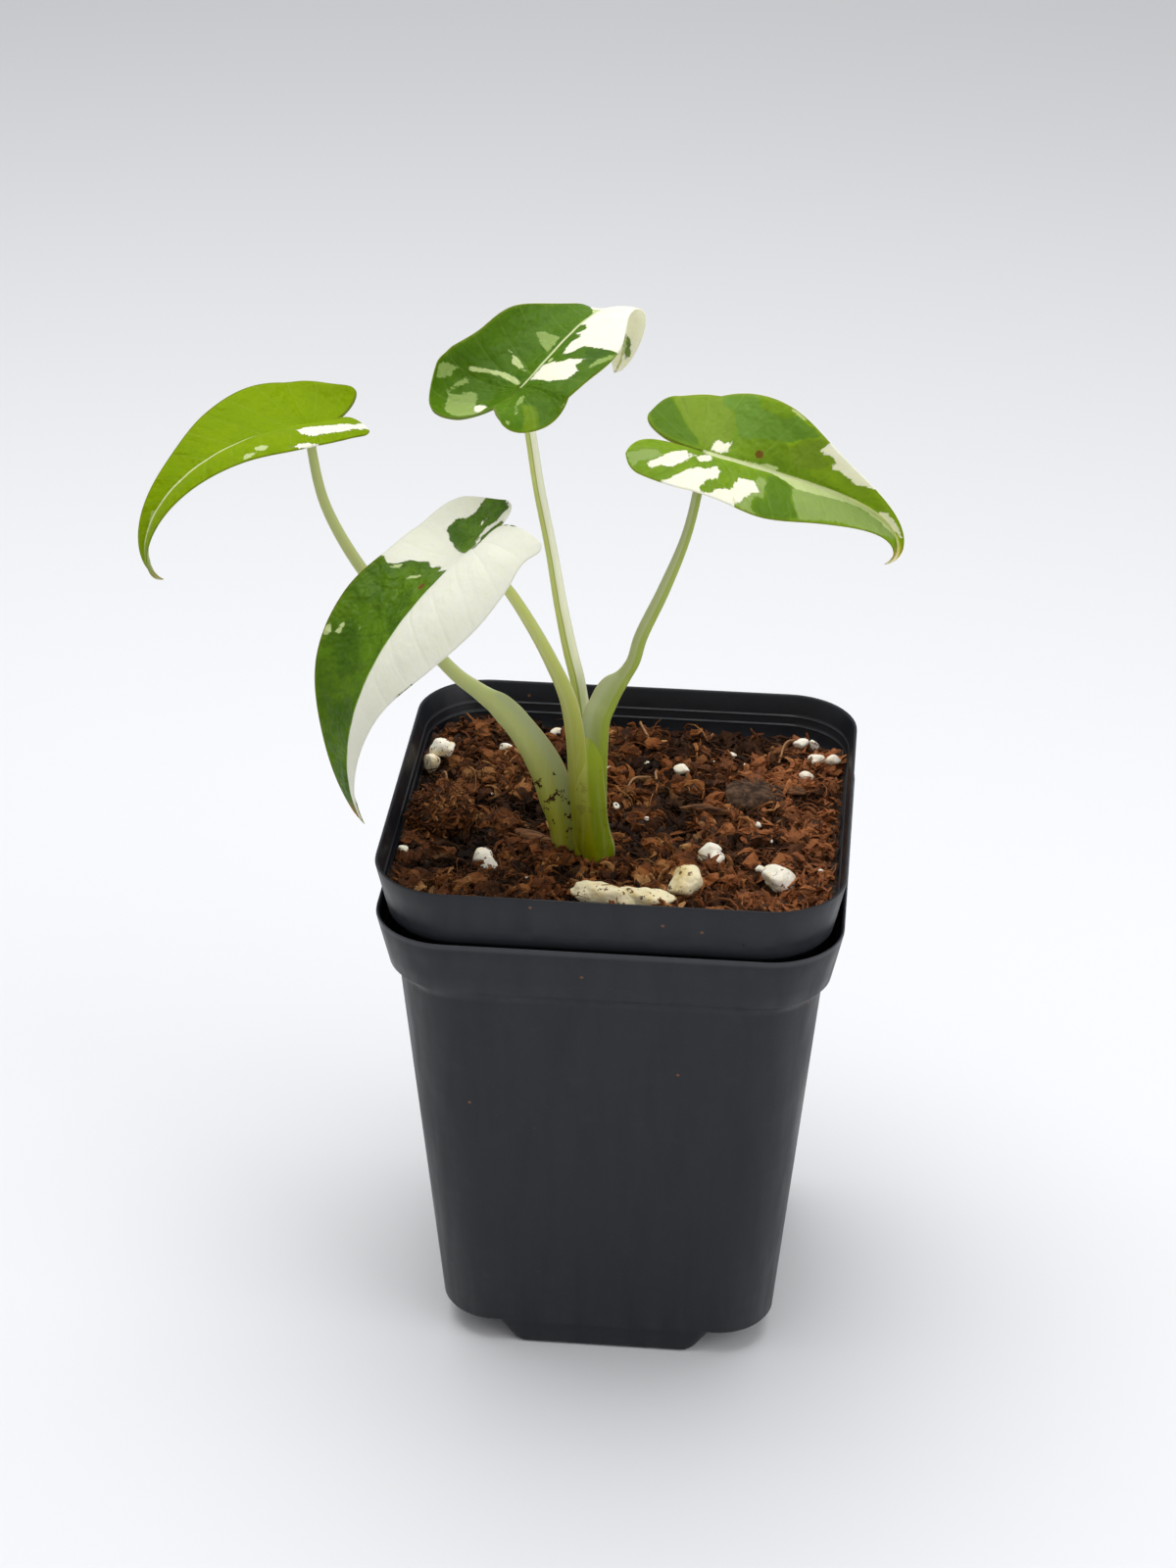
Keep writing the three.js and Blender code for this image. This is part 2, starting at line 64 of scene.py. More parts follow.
def make_mesh(name, points, faces, material, smooth=True):
    mesh = bpy.data.meshes.new(name)
    mesh.from_pydata((np.asarray(points, float) * MM).tolist(), [], faces)
    mesh.validate()
    mesh.materials.append(material)
    mesh.polygons.foreach_set("use_smooth", [smooth] * len(mesh.polygons))
    piece = bpy.data.objects.new(name, mesh)
    bpy.context.scene.collection.objects.link(piece)
    return piece


def grid_faces(rows, columns, start=0, closed=False):
    """Quads between rows of points, each row joined to the next one."""
    faces = []
    for i in range(rows - 1):
        for j in range(columns if closed else columns - 1):
            a = start + i * columns + j
            b = start + i * columns + (j + 1) % columns
            faces.append((a, b, b + columns, a + columns))
    return faces


print("one unit is", MM, "m")


# %% Attributes, modifiers and bodies
def keep(mesh, **fields):
    """Stores a number or a direction for each point, under the field's name."""
    for title, values in fields.items():
        values = np.asarray(values, np.float32)
        kind, key = ("FLOAT_VECTOR", "vector") if values.ndim == 2 else ("FLOAT", "value")
        mesh.attributes.new(title, kind, "POINT").data.foreach_set(key, values.ravel())


def apply_modifiers(piece):
    """The piece's mesh becomes what its modifiers make of it, and they are taken off."""
    bpy.context.view_layer.update()
    shaped = piece.evaluated_get(bpy.context.evaluated_depsgraph_get())
    mesh = bpy.data.meshes.new_from_object(shaped)
    piece.modifiers.clear()
    piece.data = mesh


def settle(piece, *nodes, slot):
    """The piece rides on the plant's one body and stands for these nodes of the frame."""
    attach(piece, root)
    if nodes:
        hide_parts(*nodes)
    print(piece.name, len(piece.data.polygons), "faces")


print("every piece rides on the body", root)

# %% [markdown]
# Materials and geometry trees are both made of nodes. A small class keeps each tree short: it
# adds a node, sets its values or wires them, and hands back one output. Colours are written as
# a screen shows them, from 0 to 255, and turned into the linear values that the renderer uses.

# %% A helper for node trees
class Nodes:
    def __init__(self, tree):
        self.tree = tree

    def node(self, kind, inputs=(), **settings):
        node = self.tree.nodes.new(kind)
        for name, value in settings.items():
            setattr(node, name, value)
        for key, value in dict(inputs).items():
            self.fill(node.inputs[key], value)
        return node

    def fill(self, socket, value):
        if isinstance(value, bpy.types.NodeSocket):
            self.tree.links.new(value, socket)
        else:
            socket.default_value = value

    def add(self, kind, inputs=(), output=0, **settings):
        return self.node(kind, inputs, **settings).outputs[output]

    def math(self, operation, *values):
        return self.add("ShaderNodeMath", dict(enumerate(values)), operation=operation)

    def times(self, a, b):
        return self.math("MULTIPLY", a, b)

    def plus(self, a, b):
        return self.math("ADD", a, b)

    def minus(self, a, b):
        return self.math("SUBTRACT", a, b)

    def power(self, a, b):
        return self.math("POWER", a, b)

    def axis(self, vector, number):
        return self.add("ShaderNodeSeparateXYZ", {0: vector}, output=number)


print("node helpers:", ", ".join(name for name in vars(Nodes) if name[0] != "_"))


# %% Colours
def tint(red, green, blue):
    """A screen's colour, from 0 to 255, as the linear value that the renderer uses."""
    linear = []
    for value in (red, green, blue):
        c = value / 255
        linear.append(c / 12.92 if c < 0.04045 else ((c + 0.055) / 1.055) ** 2.4)
    return (*linear, 1.0)


print("mid grey is", [round(value, 3) for value in tint(128, 128, 128)[:3]])


# %% A helper for materials
class Finish(Nodes):
    def __init__(self, name):
        self.material = bpy.data.materials.new(name)
        self.material.use_nodes = True
        super().__init__(self.material.node_tree)
        self.surface = self.tree.nodes["Principled BSDF"]
        self.place = self.add("ShaderNodeTexCoord", output="Object")

    def put(self, **inputs):
        for name, value in inputs.items():
            self.fill(self.surface.inputs[name.replace("_", " ")], value)

    def noise(self, vector, scale, detail=3.0, roughness=0.55):
        return self.add("ShaderNodeTexNoise", {"Vector": vector, "Scale": scale,
                                               "Detail": detail, "Roughness": roughness})

    def cells(self, vector, scale):
        return self.add("ShaderNodeTexVoronoi", {"Vector": vector, "Scale": scale})

    def step(self, value, low, high, to_low=0.0, to_high=1.0):
        """A soft step from to_low to to_high, while the value goes from low to high."""
        return self.add("ShaderNodeMapRange", {"Value": value, "From Min": low, "From Max": high,
                                               "To Min": to_low, "To Max": to_high},
                        interpolation_type="SMOOTHSTEP")

    def blend(self, share, under, over):
        return self.add("ShaderNodeMix", {0: share, 6: under, 7: over}, output=2, data_type="RGBA")

    def attribute(self, name, output="Fac"):
        return self.add("ShaderNodeAttribute", output=output, attribute_name=name)

    def stretched(self, vector, scale, turn=(0, 0, 0)):
        return self.add("ShaderNodeMapping", {"Vector": vector, "Scale": scale, "Rotation": turn})

    def bump(self, height, depth_mm, under=None):
        inputs = {"Height": height, "Distance": depth_mm * MM, "Strength": 1.0}
        if under is not None:
            inputs["Normal"] = under
        return self.add("ShaderNodeBump", inputs)

    def report(self):
        print(self.material.name, "finish:", len(self.tree.nodes), "nodes")


print("finish helpers:", ", ".join(name for name in vars(Finish) if name[0] != "_"))

# %% [markdown]
# The pot's plastic is black polypropylene with a satin moulded surface. A close look shows a
# fine grain, long faint rubs and a little dust. Round the outer pot's rim and just above it, where
# the gap between the pots lies in shade, a lighter band is painted light. An image could hold
# all this, but noise stays sharp at any distance: the grain goes to the bump, the rubs to the
# roughness, and the dust and the painted light to the colour.

# %% Pot plastic
POT_BLACK = tint(16, 19, 26)
POT_DUST = tint(42, 44, 49)
POT_PAINTED_LIGHT = tint(62, 64, 70)
POT_SOIL = tint(96, 62, 42)
# Heights of the band of painted light in metres: where it starts, is full, begins to fade and ends
PAINTED_LIGHT_BAND = (0.0985, 0.0995, 0.1005, 0.1035)

plastic = Finish("pot_plastic")
dust = plastic.noise(plastic.place, scale=140, detail=6, roughness=0.7)
specks = plastic.cells(plastic.place, scale=420)
rubs = plastic.noise(plastic.stretched(plastic.place, (260, 260, 30)), scale=1, detail=4)
share = plastic.times(plastic.step(dust, 0.55, 0.85), 0.35)
share = plastic.plus(share, plastic.times(plastic.step(specks, 0.09, 0.03), 0.5))
soil = plastic.cells(plastic.place, scale=95)
colour = plastic.blend(share, POT_BLACK, POT_DUST)
height = plastic.axis(plastic.place, 2)
# Painted light: a lighter band round the outer rim and up the inner pot's wall, lifting the shade in the gap
# between the pots
painted_light = plastic.times(plastic.step(height, PAINTED_LIGHT_BAND[3], PAINTED_LIGHT_BAND[2], 0.0, 0.7),
                       plastic.step(height, PAINTED_LIGHT_BAND[0], PAINTED_LIGHT_BAND[1]))
colour = plastic.blend(painted_light, colour, POT_PAINTED_LIGHT)
plastic.put(Base_Color=plastic.blend(plastic.step(soil, 0.04, 0.025), colour, POT_SOIL))
plastic.put(Roughness=plastic.step(rubs, 0.3, 0.7, 0.36, 0.52), Specular_IOR_Level=0.38)
grain = plastic.bump(plastic.noise(plastic.place, scale=2600, detail=2), depth_mm=0.02)
waves = plastic.noise(plastic.place, scale=90, detail=2)
plastic.put(Normal=plastic.bump(waves, depth_mm=0.25, under=grain))
plastic.report()

# %% [markdown]
# The pot is a thin moulded wall. Its outline is a square with round corners, and it was thought
# of as two things, a body and a cross-shaped foot, each a skin over a row of such outlines. The
# hollow is the same form drawn in by the wall's thickness. Joining and cutting them with the
# Boolean modifier gives a clean wall, and the lip is rounded by two more rings at the rim.

# %% The pot's sizes
outer_low, outer_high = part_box("outer_pot")
POT_HEIGHT = round((outer_high.z - outer_low.z) / MM, 1)
RIM_HALF = round((outer_high.x - outer_low.x) / 2 / MM, 1)
NEST_RISE = round((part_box("inner_pot")[0].z - outer_low.z) / MM, 1)
COLLAR_FOOT_HALF = 42.7
COLLAR_FOOT_Z = 88.5
BODY_TOP_HALF = 41
BODY_TOP_Z = 86
BODY_FOOT_HALF = 33.5
BODY_FOOT_Z = 5
RIM_CORNER = 14.5
FOOT_CORNER = 11
WALL = 0.65
FLOOR = 1
ARM_HALF = 18
ARM_SPLAY = 0.72
ARM_OUT = 33
ARM_TAPER = 0.08
ARM_ROUND = 2.5
DRAIN_OUT = 26
DRAIN_RADIUS = 3.5
DRAIN_SIDES = 32
CORNER_STEPS = 14
SIDE_STEPS = 6
ARM_STEPS = 4
SHARP_EDGE = math.radians(38)
print("pot", POT_HEIGHT, "mm high,", 2 * RIM_HALF, "mm over the rim, nested", NEST_RISE, "mm up")


# %% Outlines of the pot
def quarter_turns(points, z):
    """Four copies of the points, each a quarter turn on, level at height z."""
    ring = []
    for k in range(4):
        c = math.cos(k * math.pi / 2)
        s = math.sin(k * math.pi / 2)
        ring += [(x * c - y * s, x * s + y * c, z) for x, y in points]
    return ring


def arc(x, y, radius, start, end, steps):
    """Points on an arc round (x, y), its ends given in degrees."""
    angles = [math.radians(start + (end - start) / steps * i) for i in range(steps + 1)]
    return [(x + radius * math.cos(angle), y + radius * math.sin(angle)) for angle in angles]


def square_ring(half, corner, z):
    straight = half - corner
    side = [(straight - 2 * straight * i / SIDE_STEPS, half) for i in range(1, SIDE_STEPS)]
    return quarter_turns(arc(straight, straight, corner, 0, 90, CORNER_STEPS) + side, z)


def cross_ring(arm, out, cut, z):
    """A cross with its outer and inner corners rounded."""
    right = arc(out - cut, -arm + cut, cut, -90, 0, ARM_STEPS)
    left = arc(out - cut, arm - cut, cut, 0, 90, ARM_STEPS)
    inner = arc(arm + cut, arm + cut, cut, -90, -180, ARM_STEPS)
    return quarter_turns(right + left + inner, z)


print("points round the pot:", len(square_ring(RIM_HALF, RIM_CORNER, POT_HEIGHT)))


# %% Widths at each height
def corner_at(z):
    return FOOT_CORNER + (RIM_CORNER - FOOT_CORNER) * z / POT_HEIGHT


def half_at(z):
    """Half the width over the outside of the body or the collar at height z."""
    return float(np.interp(z, (BODY_FOOT_Z, BODY_TOP_Z, COLLAR_FOOT_Z, POT_HEIGHT),
                           (BODY_FOOT_HALF, BODY_TOP_HALF, COLLAR_FOOT_HALF, RIM_HALF)))


def body_rings(inset, heights):
    """Rings at these heights. Each entry is a height and how far in from the form it lies."""
    return [square_ring(half_at(z) - inset - more, corner_at(z) - inset - more, z)
            for z, more in heights]


def foot_rings(inset, lowest):
    levels = [(lowest, 0.9), (lowest + 0.25, 0.3), (lowest + 0.9, 0), (BODY_FOOT_Z + lowest, 0),
              (BODY_FOOT_Z + lowest + FLOOR, 0)]
    return [cross_ring(ARM_HALF + ARM_SPLAY * z - inset - more, ARM_OUT + ARM_TAPER * z - inset - more,
                       ARM_ROUND - more, z) for z, more in levels]


# Heights, and how far in from the form the surface lies there: edges are rounded by two rings
OUTSIDE = [(5, 1.0), (5.3, 0.4), (6, 0), (30, 0), (60, 0), (85.4, 0), (86.1, 0.06), (88.2, 0.12),
           (88.7, 0.0), (92, 0), (96, 0), (99.5, 0), (99.85, 0.12), (POT_HEIGHT, 0.32)]
# Two fine ridges run round the inside of the collar
RIDGE_HEIGHTS = (93.7, 95.6)
RIDGE_DEPTH = 0.24
RIDGES = [(z + step, RIDGE_DEPTH if step == 0 else 0)
          for z in RIDGE_HEIGHTS for step in (-0.6, -0.24, 0, 0.24, 0.6)]
INSIDE = [(6, 0.8), (6.4, 0.2), (7, 0), (40, 0), (BODY_TOP_Z + 0.3, 0), (COLLAR_FOOT_Z + 0.3, 0),
          *RIDGES, (99.4, 0), (99.8, -0.08), (POT_HEIGHT, -0.3), (POT_HEIGHT + 1, -0.3)]
print("rings outside and inside:", len(OUTSIDE), len(INSIDE))


# %% Making a pot
def skin(name, rings):
    """A closed skin over rings of the same number of points."""
    count = len(rings[0])
    faces = grid_faces(len(rings), count, closed=True)
    faces.append(tuple(range(count))[::-1])
    faces.append(tuple(range((len(rings) - 1) * count, len(rings) * count)))
    return make_mesh(name, [p for ring in rings for p in ring], faces, plastic.material)


def carve(piece, other, operation):
    modifier = piece.modifiers.new(operation, "BOOLEAN")
    modifier.operation = operation
    modifier.solver = "EXACT"
    modifier.object = other
    apply_modifiers(piece)
    bpy.data.objects.remove(other)


def make_pot(name, lift):
    pot = skin(name, body_rings(0, OUTSIDE))
    carve(pot, skin("foot", foot_rings(0, 0)), "UNION")
    carve(pot, skin("hollow", body_rings(WALL, INSIDE)), "DIFFERENCE")
    carve(pot, skin("foot_hollow", foot_rings(WALL, FLOOR)), "DIFFERENCE")
    for x in (-DRAIN_OUT, DRAIN_OUT):
        for y in (-DRAIN_OUT, DRAIN_OUT):
            hole = arc(x, y, DRAIN_RADIUS, 0, 360, DRAIN_SIDES)[:-1]
            ends = (BODY_FOOT_Z - 1, BODY_FOOT_Z + 3)
            drill = skin("drill", [[(a, b, z) for a, b in hole] for z in ends])
            carve(pot, drill, "DIFFERENCE")
    for vertex in pot.data.vertices:
        vertex.co.z += lift * MM
    pot.data.polygons.foreach_set("use_smooth", [True] * len(pot.data.polygons))
    pot.data.set_sharp_from_angle(angle=SHARP_EDGE)
    return pot


settle(make_pot("outer_pot_wall", 0), "outer_pot", slot="pot_plastic")
settle(make_pot("inner_pot_wall", NEST_RISE), "inner_pot", slot="pot_plastic")

# %% [markdown]
# The mix is coir pith and bark fibre, reddish brown and crumbly. A flat top with a bump in its
# material would look painted on, so the surface is a fine grid squeezed into the pot's rounded
# square, raised by clumps and by noise at three scales. Under it the filling goes on down to
# the pot's floor, so that it is a closed body.

# %% Mix finish
COIR_DARK = tint(24, 13, 8)
COIR = tint(58, 35, 20)
COIR_RED = tint(88, 50, 26)
COIR_PALE = tint(164, 120, 74)

coir = Finish("coir_mix")
crumbs = coir.noise(coir.place, scale=420, detail=6, roughness=0.65)
patches = coir.noise(coir.place, scale=70)
fibres = coir.noise(coir.stretched(coir.place, (2400, 300, 300), (0.3, 0.2, 0.9)), scale=1)
colour = coir.blend(coir.step(crumbs, 0.3, 0.6), COIR_DARK, COIR)
reddish = coir.blend(coir.step(crumbs, 0.35, 0.7), COIR, COIR_RED)
colour = coir.blend(coir.step(patches, 0.45, 0.65), colour, reddish)
colour = coir.blend(coir.times(coir.step(fibres, 0.6, 0.75), 0.6), colour, COIR_PALE)
coir.put(Base_Color=colour, Roughness=0.92, Normal=coir.bump(crumbs, depth_mm=0.8))
coir.report()

# %% Height of the mix
MIX_TOP = 103.9
MIX_SLOPE = 0.03
# Clumps and hollows: middle x and y, radius, and how far up or down
CLUMPS = [(-38, -5, 5, 3), (-33, 33, 6, 2.4), (-23, 14, 5, 3), (-15, -18, 5, 1.6), (25, 13, 6, 0.8),
          (-25, -5, 3.6, 2.2), (-19, 2, 4.5, -3.6), (-31, -13, 3.4, -3.4), (-30, 4, 3, -2.6),
          (-12, 24, 4, -2), (10, 6, 5, -2), (23, -6, 4, -1.4), (2, 24, 4, -1.6), (20, 44, 14, -1.6)]
# Noise as height and waves per millimetre: broad swells, sharp lumps and a fine roughness
SWELLS = (1.6, 0.14)
LUMPY = (3.2, 0.26)
ROUGH = (0.5, 1.1)


def mix_height(x, y):
    z = MIX_TOP - MIX_SLOPE * y
    for at_x, at_y, radius, height in CLUMPS:
        z += height * math.exp(-((x - at_x) ** 2 + (y - at_y) ** 2) / radius ** 2)
    place = Vector((x, y, 0))
    z += SWELLS[0] * noise.noise(place * SWELLS[1])
    z += LUMPY[0] * abs(noise.noise(place * LUMPY[1] + Vector((7, 3, 1)))) - 0.8
    return z + ROUGH[0] * noise.noise(place * ROUGH[1])


print("height at the middle:", round(mix_height(0, 0), 1), "mm")

# %% The grid in the rounded square
MIX_GRID = 150
MIX_GAP = 0.3
fill_half = half_at(MIX_TOP - NEST_RISE) - WALL - 0.1
fill_corner = corner_at(MIX_TOP - NEST_RISE) - WALL


def to_rounded_square(u, v):
    """A place in the square from -1 to 1 as a place in the pot's rounded square."""
    reach = max(abs(u), abs(v))
    if reach == 0:
        return 0.0, 0.0
    c = abs(u) / reach
    s = abs(v) / reach
    flat = fill_half - fill_corner
    if min(c, s) * fill_half <= flat:
        distance = fill_half
    else:
        along = flat * (c + s) / (c * c + s * s)
        beyond = (2 * flat * flat - fill_corner ** 2) / (c * c + s * s)
        distance = along + math.sqrt(max(along * along - beyond, 0))
    return u * distance, v * distance


def border_of(n):
    """Numbers of the points round the edge of a grid of n by n points."""
    return ([j for j in range(n)] + [i * n + n - 1 for i in range(1, n)]
            + [(n - 1) * n + j for j in range(n - 2, -1, -1)] + [i * n for i in range(n - 2, 0, -1)])


print("the mix is", round(2 * fill_half, 1), "mm wide at its top")


# %% The mix surface
def make_mix():
    points = []
    n = MIX_GRID + 1
    for i in range(n):
        for j in range(n):
            x, y = to_rounded_square(2 * j / MIX_GRID - 1, 2 * i / MIX_GRID - 1)
            points.append((x, y, mix_height(x, y)))
    faces = grid_faces(n, n)
    border = border_of(n)
    rings = [border]
    for height in (COLLAR_FOOT_Z, BODY_TOP_Z, BODY_FOOT_Z + FLOOR + MIX_GAP):
        scale = (half_at(height) - WALL - MIX_GAP) / fill_half
        start = len(points)
        points += [(points[k][0] * scale, points[k][1] * scale, height + NEST_RISE) for k in border]
        rings.append(list(range(start, len(points))))
    for upper, lower in zip(rings, rings[1:]):
        for k in range(len(border)):
            m = (k + 1) % len(border)
            faces.append((upper[m], upper[k], lower[k], lower[m]))
    faces.append(tuple(rings[-1][::-1]))
    return make_mesh("mix_surface", points, faces, coir.material)


mix = make_mix()
settle(mix, "potting_mix", slot="coir_mix")

# %% [markdown]
# The mix is never smooth. On the real one hundreds of coir crumbs, bark chips and hair-thin
# fibres lie across each other with dark gaps between. Modelling them one by one would take days,
# so a few shapes are made once, and Geometry Nodes scatter them over the top of the filling: each
# copy gets its own turn, size and tone, and copies in a hollow are painted darker, as painted shade.

# %% Crumb finish
# Tone of a crumb, and its colour: the darkest, the palest, and those between
CRUMB_RAMP = ((0.05, tint(36, 22, 13)), (0.97, tint(190, 142, 90)), (0.3, tint(80, 44, 20)),
              (0.55, tint(119, 67, 31)), (0.8, tint(141, 89, 46)))
# The first colour is painted shade towards the left side, the second makes the right side paler and redder,
# the third is painted shade in the hollows
CRUMB_LEFT_SHADE = tint(50, 36, 27)
CRUMB_RIGHT = tint(196, 124, 80)
CRUMB_HOLLOW_SHADE = tint(16, 10, 7)

crumb = Finish("coir_crumbs")
region = crumb.noise(crumb.place, scale=110, detail=2)
tone = crumb.plus(crumb.times(crumb.attribute("crumb_tone"), 0.7),
                  crumb.times(crumb.step(region, 0.3, 0.7), 0.3))
fleck = crumb.noise(crumb.place, scale=1100, detail=4, roughness=0.7)
strand = crumb.noise(crumb.stretched(crumb.place, (2400, 700, 900), (0.4, 0.9, 0.2)), scale=1)
shade = crumb.node("ShaderNodeValToRGB", {"Fac": tone})
stops = shade.color_ramp.elements
for stop, (position, colour) in zip(stops, CRUMB_RAMP):
    stop.position = position
    stop.color = colour
for position, colour in CRUMB_RAMP[2:]:
    stops.new(position).color = colour
colour = crumb.blend(crumb.times(crumb.step(fleck, 0.5, 0.3), 0.7), shade.outputs[0], COIR_DARK)
colour = crumb.blend(crumb.times(crumb.step(strand, 0.58, 0.75), 0.35), colour, COIR_PALE)
across = crumb.axis(crumb.place, 0)
# Painted shade: the crumbs darken towards the left side
colour = crumb.blend(crumb.step(across, 0.0, -0.03, 0.0, 0.27), colour, CRUMB_LEFT_SHADE)
colour = crumb.blend(crumb.step(across, 0.005, 0.035, 0.0, 0.38), colour, CRUMB_RIGHT)
# Painted shade: copies that lie in a hollow of the mix are darkened
deep = crumb.step(crumb.attribute("hollow"), 0.0, 1.0, 0.0, 0.88)
colour = crumb.blend(deep, colour, CRUMB_HOLLOW_SHADE)
crumb.put(Base_Color=colour, Roughness=0.8, Specular_IOR_Level=0.12)
crumb.put(Normal=crumb.bump(fleck, depth_mm=0.3))
crumb.report()


# %% Crumb shapes
def part_shape(name, points, faces):
    mesh = bpy.data.meshes.new(name)
    mesh.from_pydata((np.asarray(points, float) * MM).tolist(), [], faces)
    return bpy.data.objects.new(name, mesh)


def ball(detail):
    """Points and faces of a ball of radius 1, made of even triangles."""
    work = bmesh.new()
    bmesh.ops.create_icosphere(work, subdivisions=detail, radius=1)
    points = np.array([vertex.co for vertex in work.verts])
    faces = [[vertex.index for vertex in face.verts] for face in work.faces]
    work.free()
    return points, faces


def crumb_shape(seed, detail, flat, long):
    """A rough lump about 1 mm in radius, pressed flat and drawn out."""
    points, faces = ball(detail)
    place = Vector((seed * 7.3, 2, 5))
    knobs = [1 + 0.8 * noise.noise(Vector(p) * 1.4 + place) for p in points]
    return part_shape("crumb", points * np.array(knobs)[:, None] * (long, 1, flat), faces)


CRUMBS = [crumb_shape(seed, detail=1, flat=0.7, long=1.3) for seed in range(6)]
LUMPS = [crumb_shape(seed + 20, detail=2, flat=0.65, long=1.25) for seed in range(5)]
print("crumb faces:", len(CRUMBS[0].data.polygons), "lump faces:", len(LUMPS[0].data.polygons))


# %% Shred and fibre shapes
def strip_shape(seed, steps, wide, thick, bend):
    """A torn shred or a hair of coir, 2 mm long, bent and twisted in its own way."""
    pick = np.random.default_rng(seed)
    turn = pick.uniform(-1.8, 1.8)
    curve = pick.uniform(0.6, 1.4) * bend
    wave = pick.uniform(0, 6)
    points = []
    for t in np.linspace(-1, 1, steps):
        sway = 0.5 * curve * math.sin(2.2 * t + wave)
        middle = np.array((t, sway, 0.32 * curve * math.cos(2.6 * t + wave)))
        half = wide * (1 - 0.7 * t * t) * pick.uniform(0.65, 1.35)
        side = half * np.array((0, math.cos(turn * t), math.sin(turn * t)))
        face = thick * np.array((0, -math.sin(turn * t), math.cos(turn * t)))
        points += [middle + side, middle + face, middle - side, middle - face]
    faces = grid_faces(steps, 4, closed=True)
    faces += [(3, 2, 1, 0), tuple(range(4 * steps - 4, 4 * steps))]
    return part_shape("strip", points, faces)


SHREDS = [strip_shape(seed, steps=6, wide=0.3, thick=0.1, bend=1.0) for seed in range(8)]
FIBRES = [strip_shape(seed + 30, steps=8, wide=0.04, thick=0.035, bend=1.3) for seed in range(6)]
print("shred faces:", len(SHREDS[0].data.polygons), "fibre faces:", len(FIBRES[0].data.polygons))

# %% [markdown]
# A geometry tree turns a plain mesh into a rich one. Every tree here has named inputs for its
# sizes, and ends in Realize Instances and Set Material, so that the result is one ordinary mesh
# with its finish on. A helper runs the tree as a modifier and keeps what it makes: the modifier's
# inputs are set by their identifiers, because two inputs may share a name.

# %% A helper for geometry trees
class Growth(Nodes):
    def __init__(self, name, **inputs):
        super().__init__(bpy.data.node_groups.new(name, "GeometryNodeTree"))
        face = self.tree.interface
        face.new_socket("Geometry", in_out="INPUT", socket_type="NodeSocketGeometry")
        face.new_socket("Geometry", in_out="OUTPUT", socket_type="NodeSocketGeometry")
        for title, kind in inputs.items():
            face.new_socket(title.replace("_", " "), in_out="INPUT", socket_type="NodeSocket" + kind)
        self.given = self.node("NodeGroupInput").outputs

    def stored(self, title, kind="FLOAT"):
        return self.add("GeometryNodeInputNamedAttribute", {"Name": title}, "Attribute", data_type=kind)

    def store(self, geometry, title, value, kind="FLOAT", domain="POINT"):
        inputs = {"Geometry": geometry, "Name": title, "Value": value}
        return self.add("GeometryNodeStoreNamedAttribute", inputs, data_type=kind, domain=domain)

    def random(self, low, high, seed, kind="FLOAT"):
        """A random value for each copy. The sockets of the node differ from kind to kind."""
        first = {"FLOAT_VECTOR": 0, "FLOAT": 2, "INT": 4}[kind]
        return self.add("FunctionNodeRandomValue", {first: low, first + 1: high, "Seed": seed},
                        output=first // 2, data_type=kind)

    def end(self, geometry, material):
        real = self.add("GeometryNodeRealizeInstances", {0: geometry})
        painted = self.add("GeometryNodeSetMaterial", {"Geometry": real, "Material": material})
        self.node("NodeGroupOutput", {"Geometry": painted})


def grow(name, start, growth, **values):
    """Runs a tree on a mesh and keeps the result as a plain mesh."""
    piece = bpy.data.objects.new(name, start)
    bpy.context.scene.collection.objects.link(piece)
    modifier = piece.modifiers.new("grow", "NODES")
    modifier.node_group = growth.tree
    sockets = {item.name: item.identifier for item in growth.tree.interface.items_tree
               if item.in_out == "INPUT"}
    for title, value in values.items():
        modifier[sockets[title.replace("_", " ")]] = value
    apply_modifiers(piece)
    return piece


print("growth helpers:", ", ".join(name for name in vars(Growth) if name[0] != "_"))


# %% Scatter tree
def scatter_tree(name, shapes, material):
    """Copies of the shapes on the faces of a surface that lie further from the wall than the edge gap, as
    one mesh.
    """
    growth = Growth(name, Copies_per_square_metre="Float", Smallest="Float", Largest="Float",
                    Tilt="Float", Edge_gap="Float", Seed="Int")
    given = growth.given
    add = growth.add
    inside = add("FunctionNodeCompare", {0: growth.stored("from_wall"), 1: given["Edge gap"]},
                 operation="GREATER_THAN")
    points = add("GeometryNodeDistributePointsOnFaces", {
        "Mesh": given["Geometry"], "Density": given["Copies per square metre"],
        "Seed": given["Seed"], "Selection": inside}, "Points")
    kinds = growth.node("GeometryNodeJoinGeometry")
    for shape in shapes:
        source = add("GeometryNodeObjectInfo", {"Object": shape}, "Geometry")
        growth.fill(kinds.inputs[0], add("GeometryNodeGeometryToInstance", {0: source}))
    which = growth.random(0, len(shapes) - 1, given["Seed"], "INT")
    lean = add("ShaderNodeCombineXYZ", {0: given["Tilt"], 1: given["Tilt"], 2: math.pi})
    back = add("ShaderNodeVectorMath", {0: lean, 3: -1.0}, operation="SCALE")
    copies = add("GeometryNodeInstanceOnPoints", {
        "Points": points, "Instance": kinds.outputs[0], "Pick Instance": True,
        "Instance Index": which, "Rotation": growth.random(back, lean, given["Seed"], "FLOAT_VECTOR"),
        "Scale": growth.random(given["Smallest"], given["Largest"], given["Seed"])})
    tone = growth.random(0.0, 1.0, growth.plus(given["Seed"], 17.0))
    growth.end(growth.store(copies, "crumb_tone", tone, domain="INSTANCE"), material)
    return growth


print("scatter tree ready for", len(CRUMBS + LUMPS + SHREDS + FIBRES), "shapes")

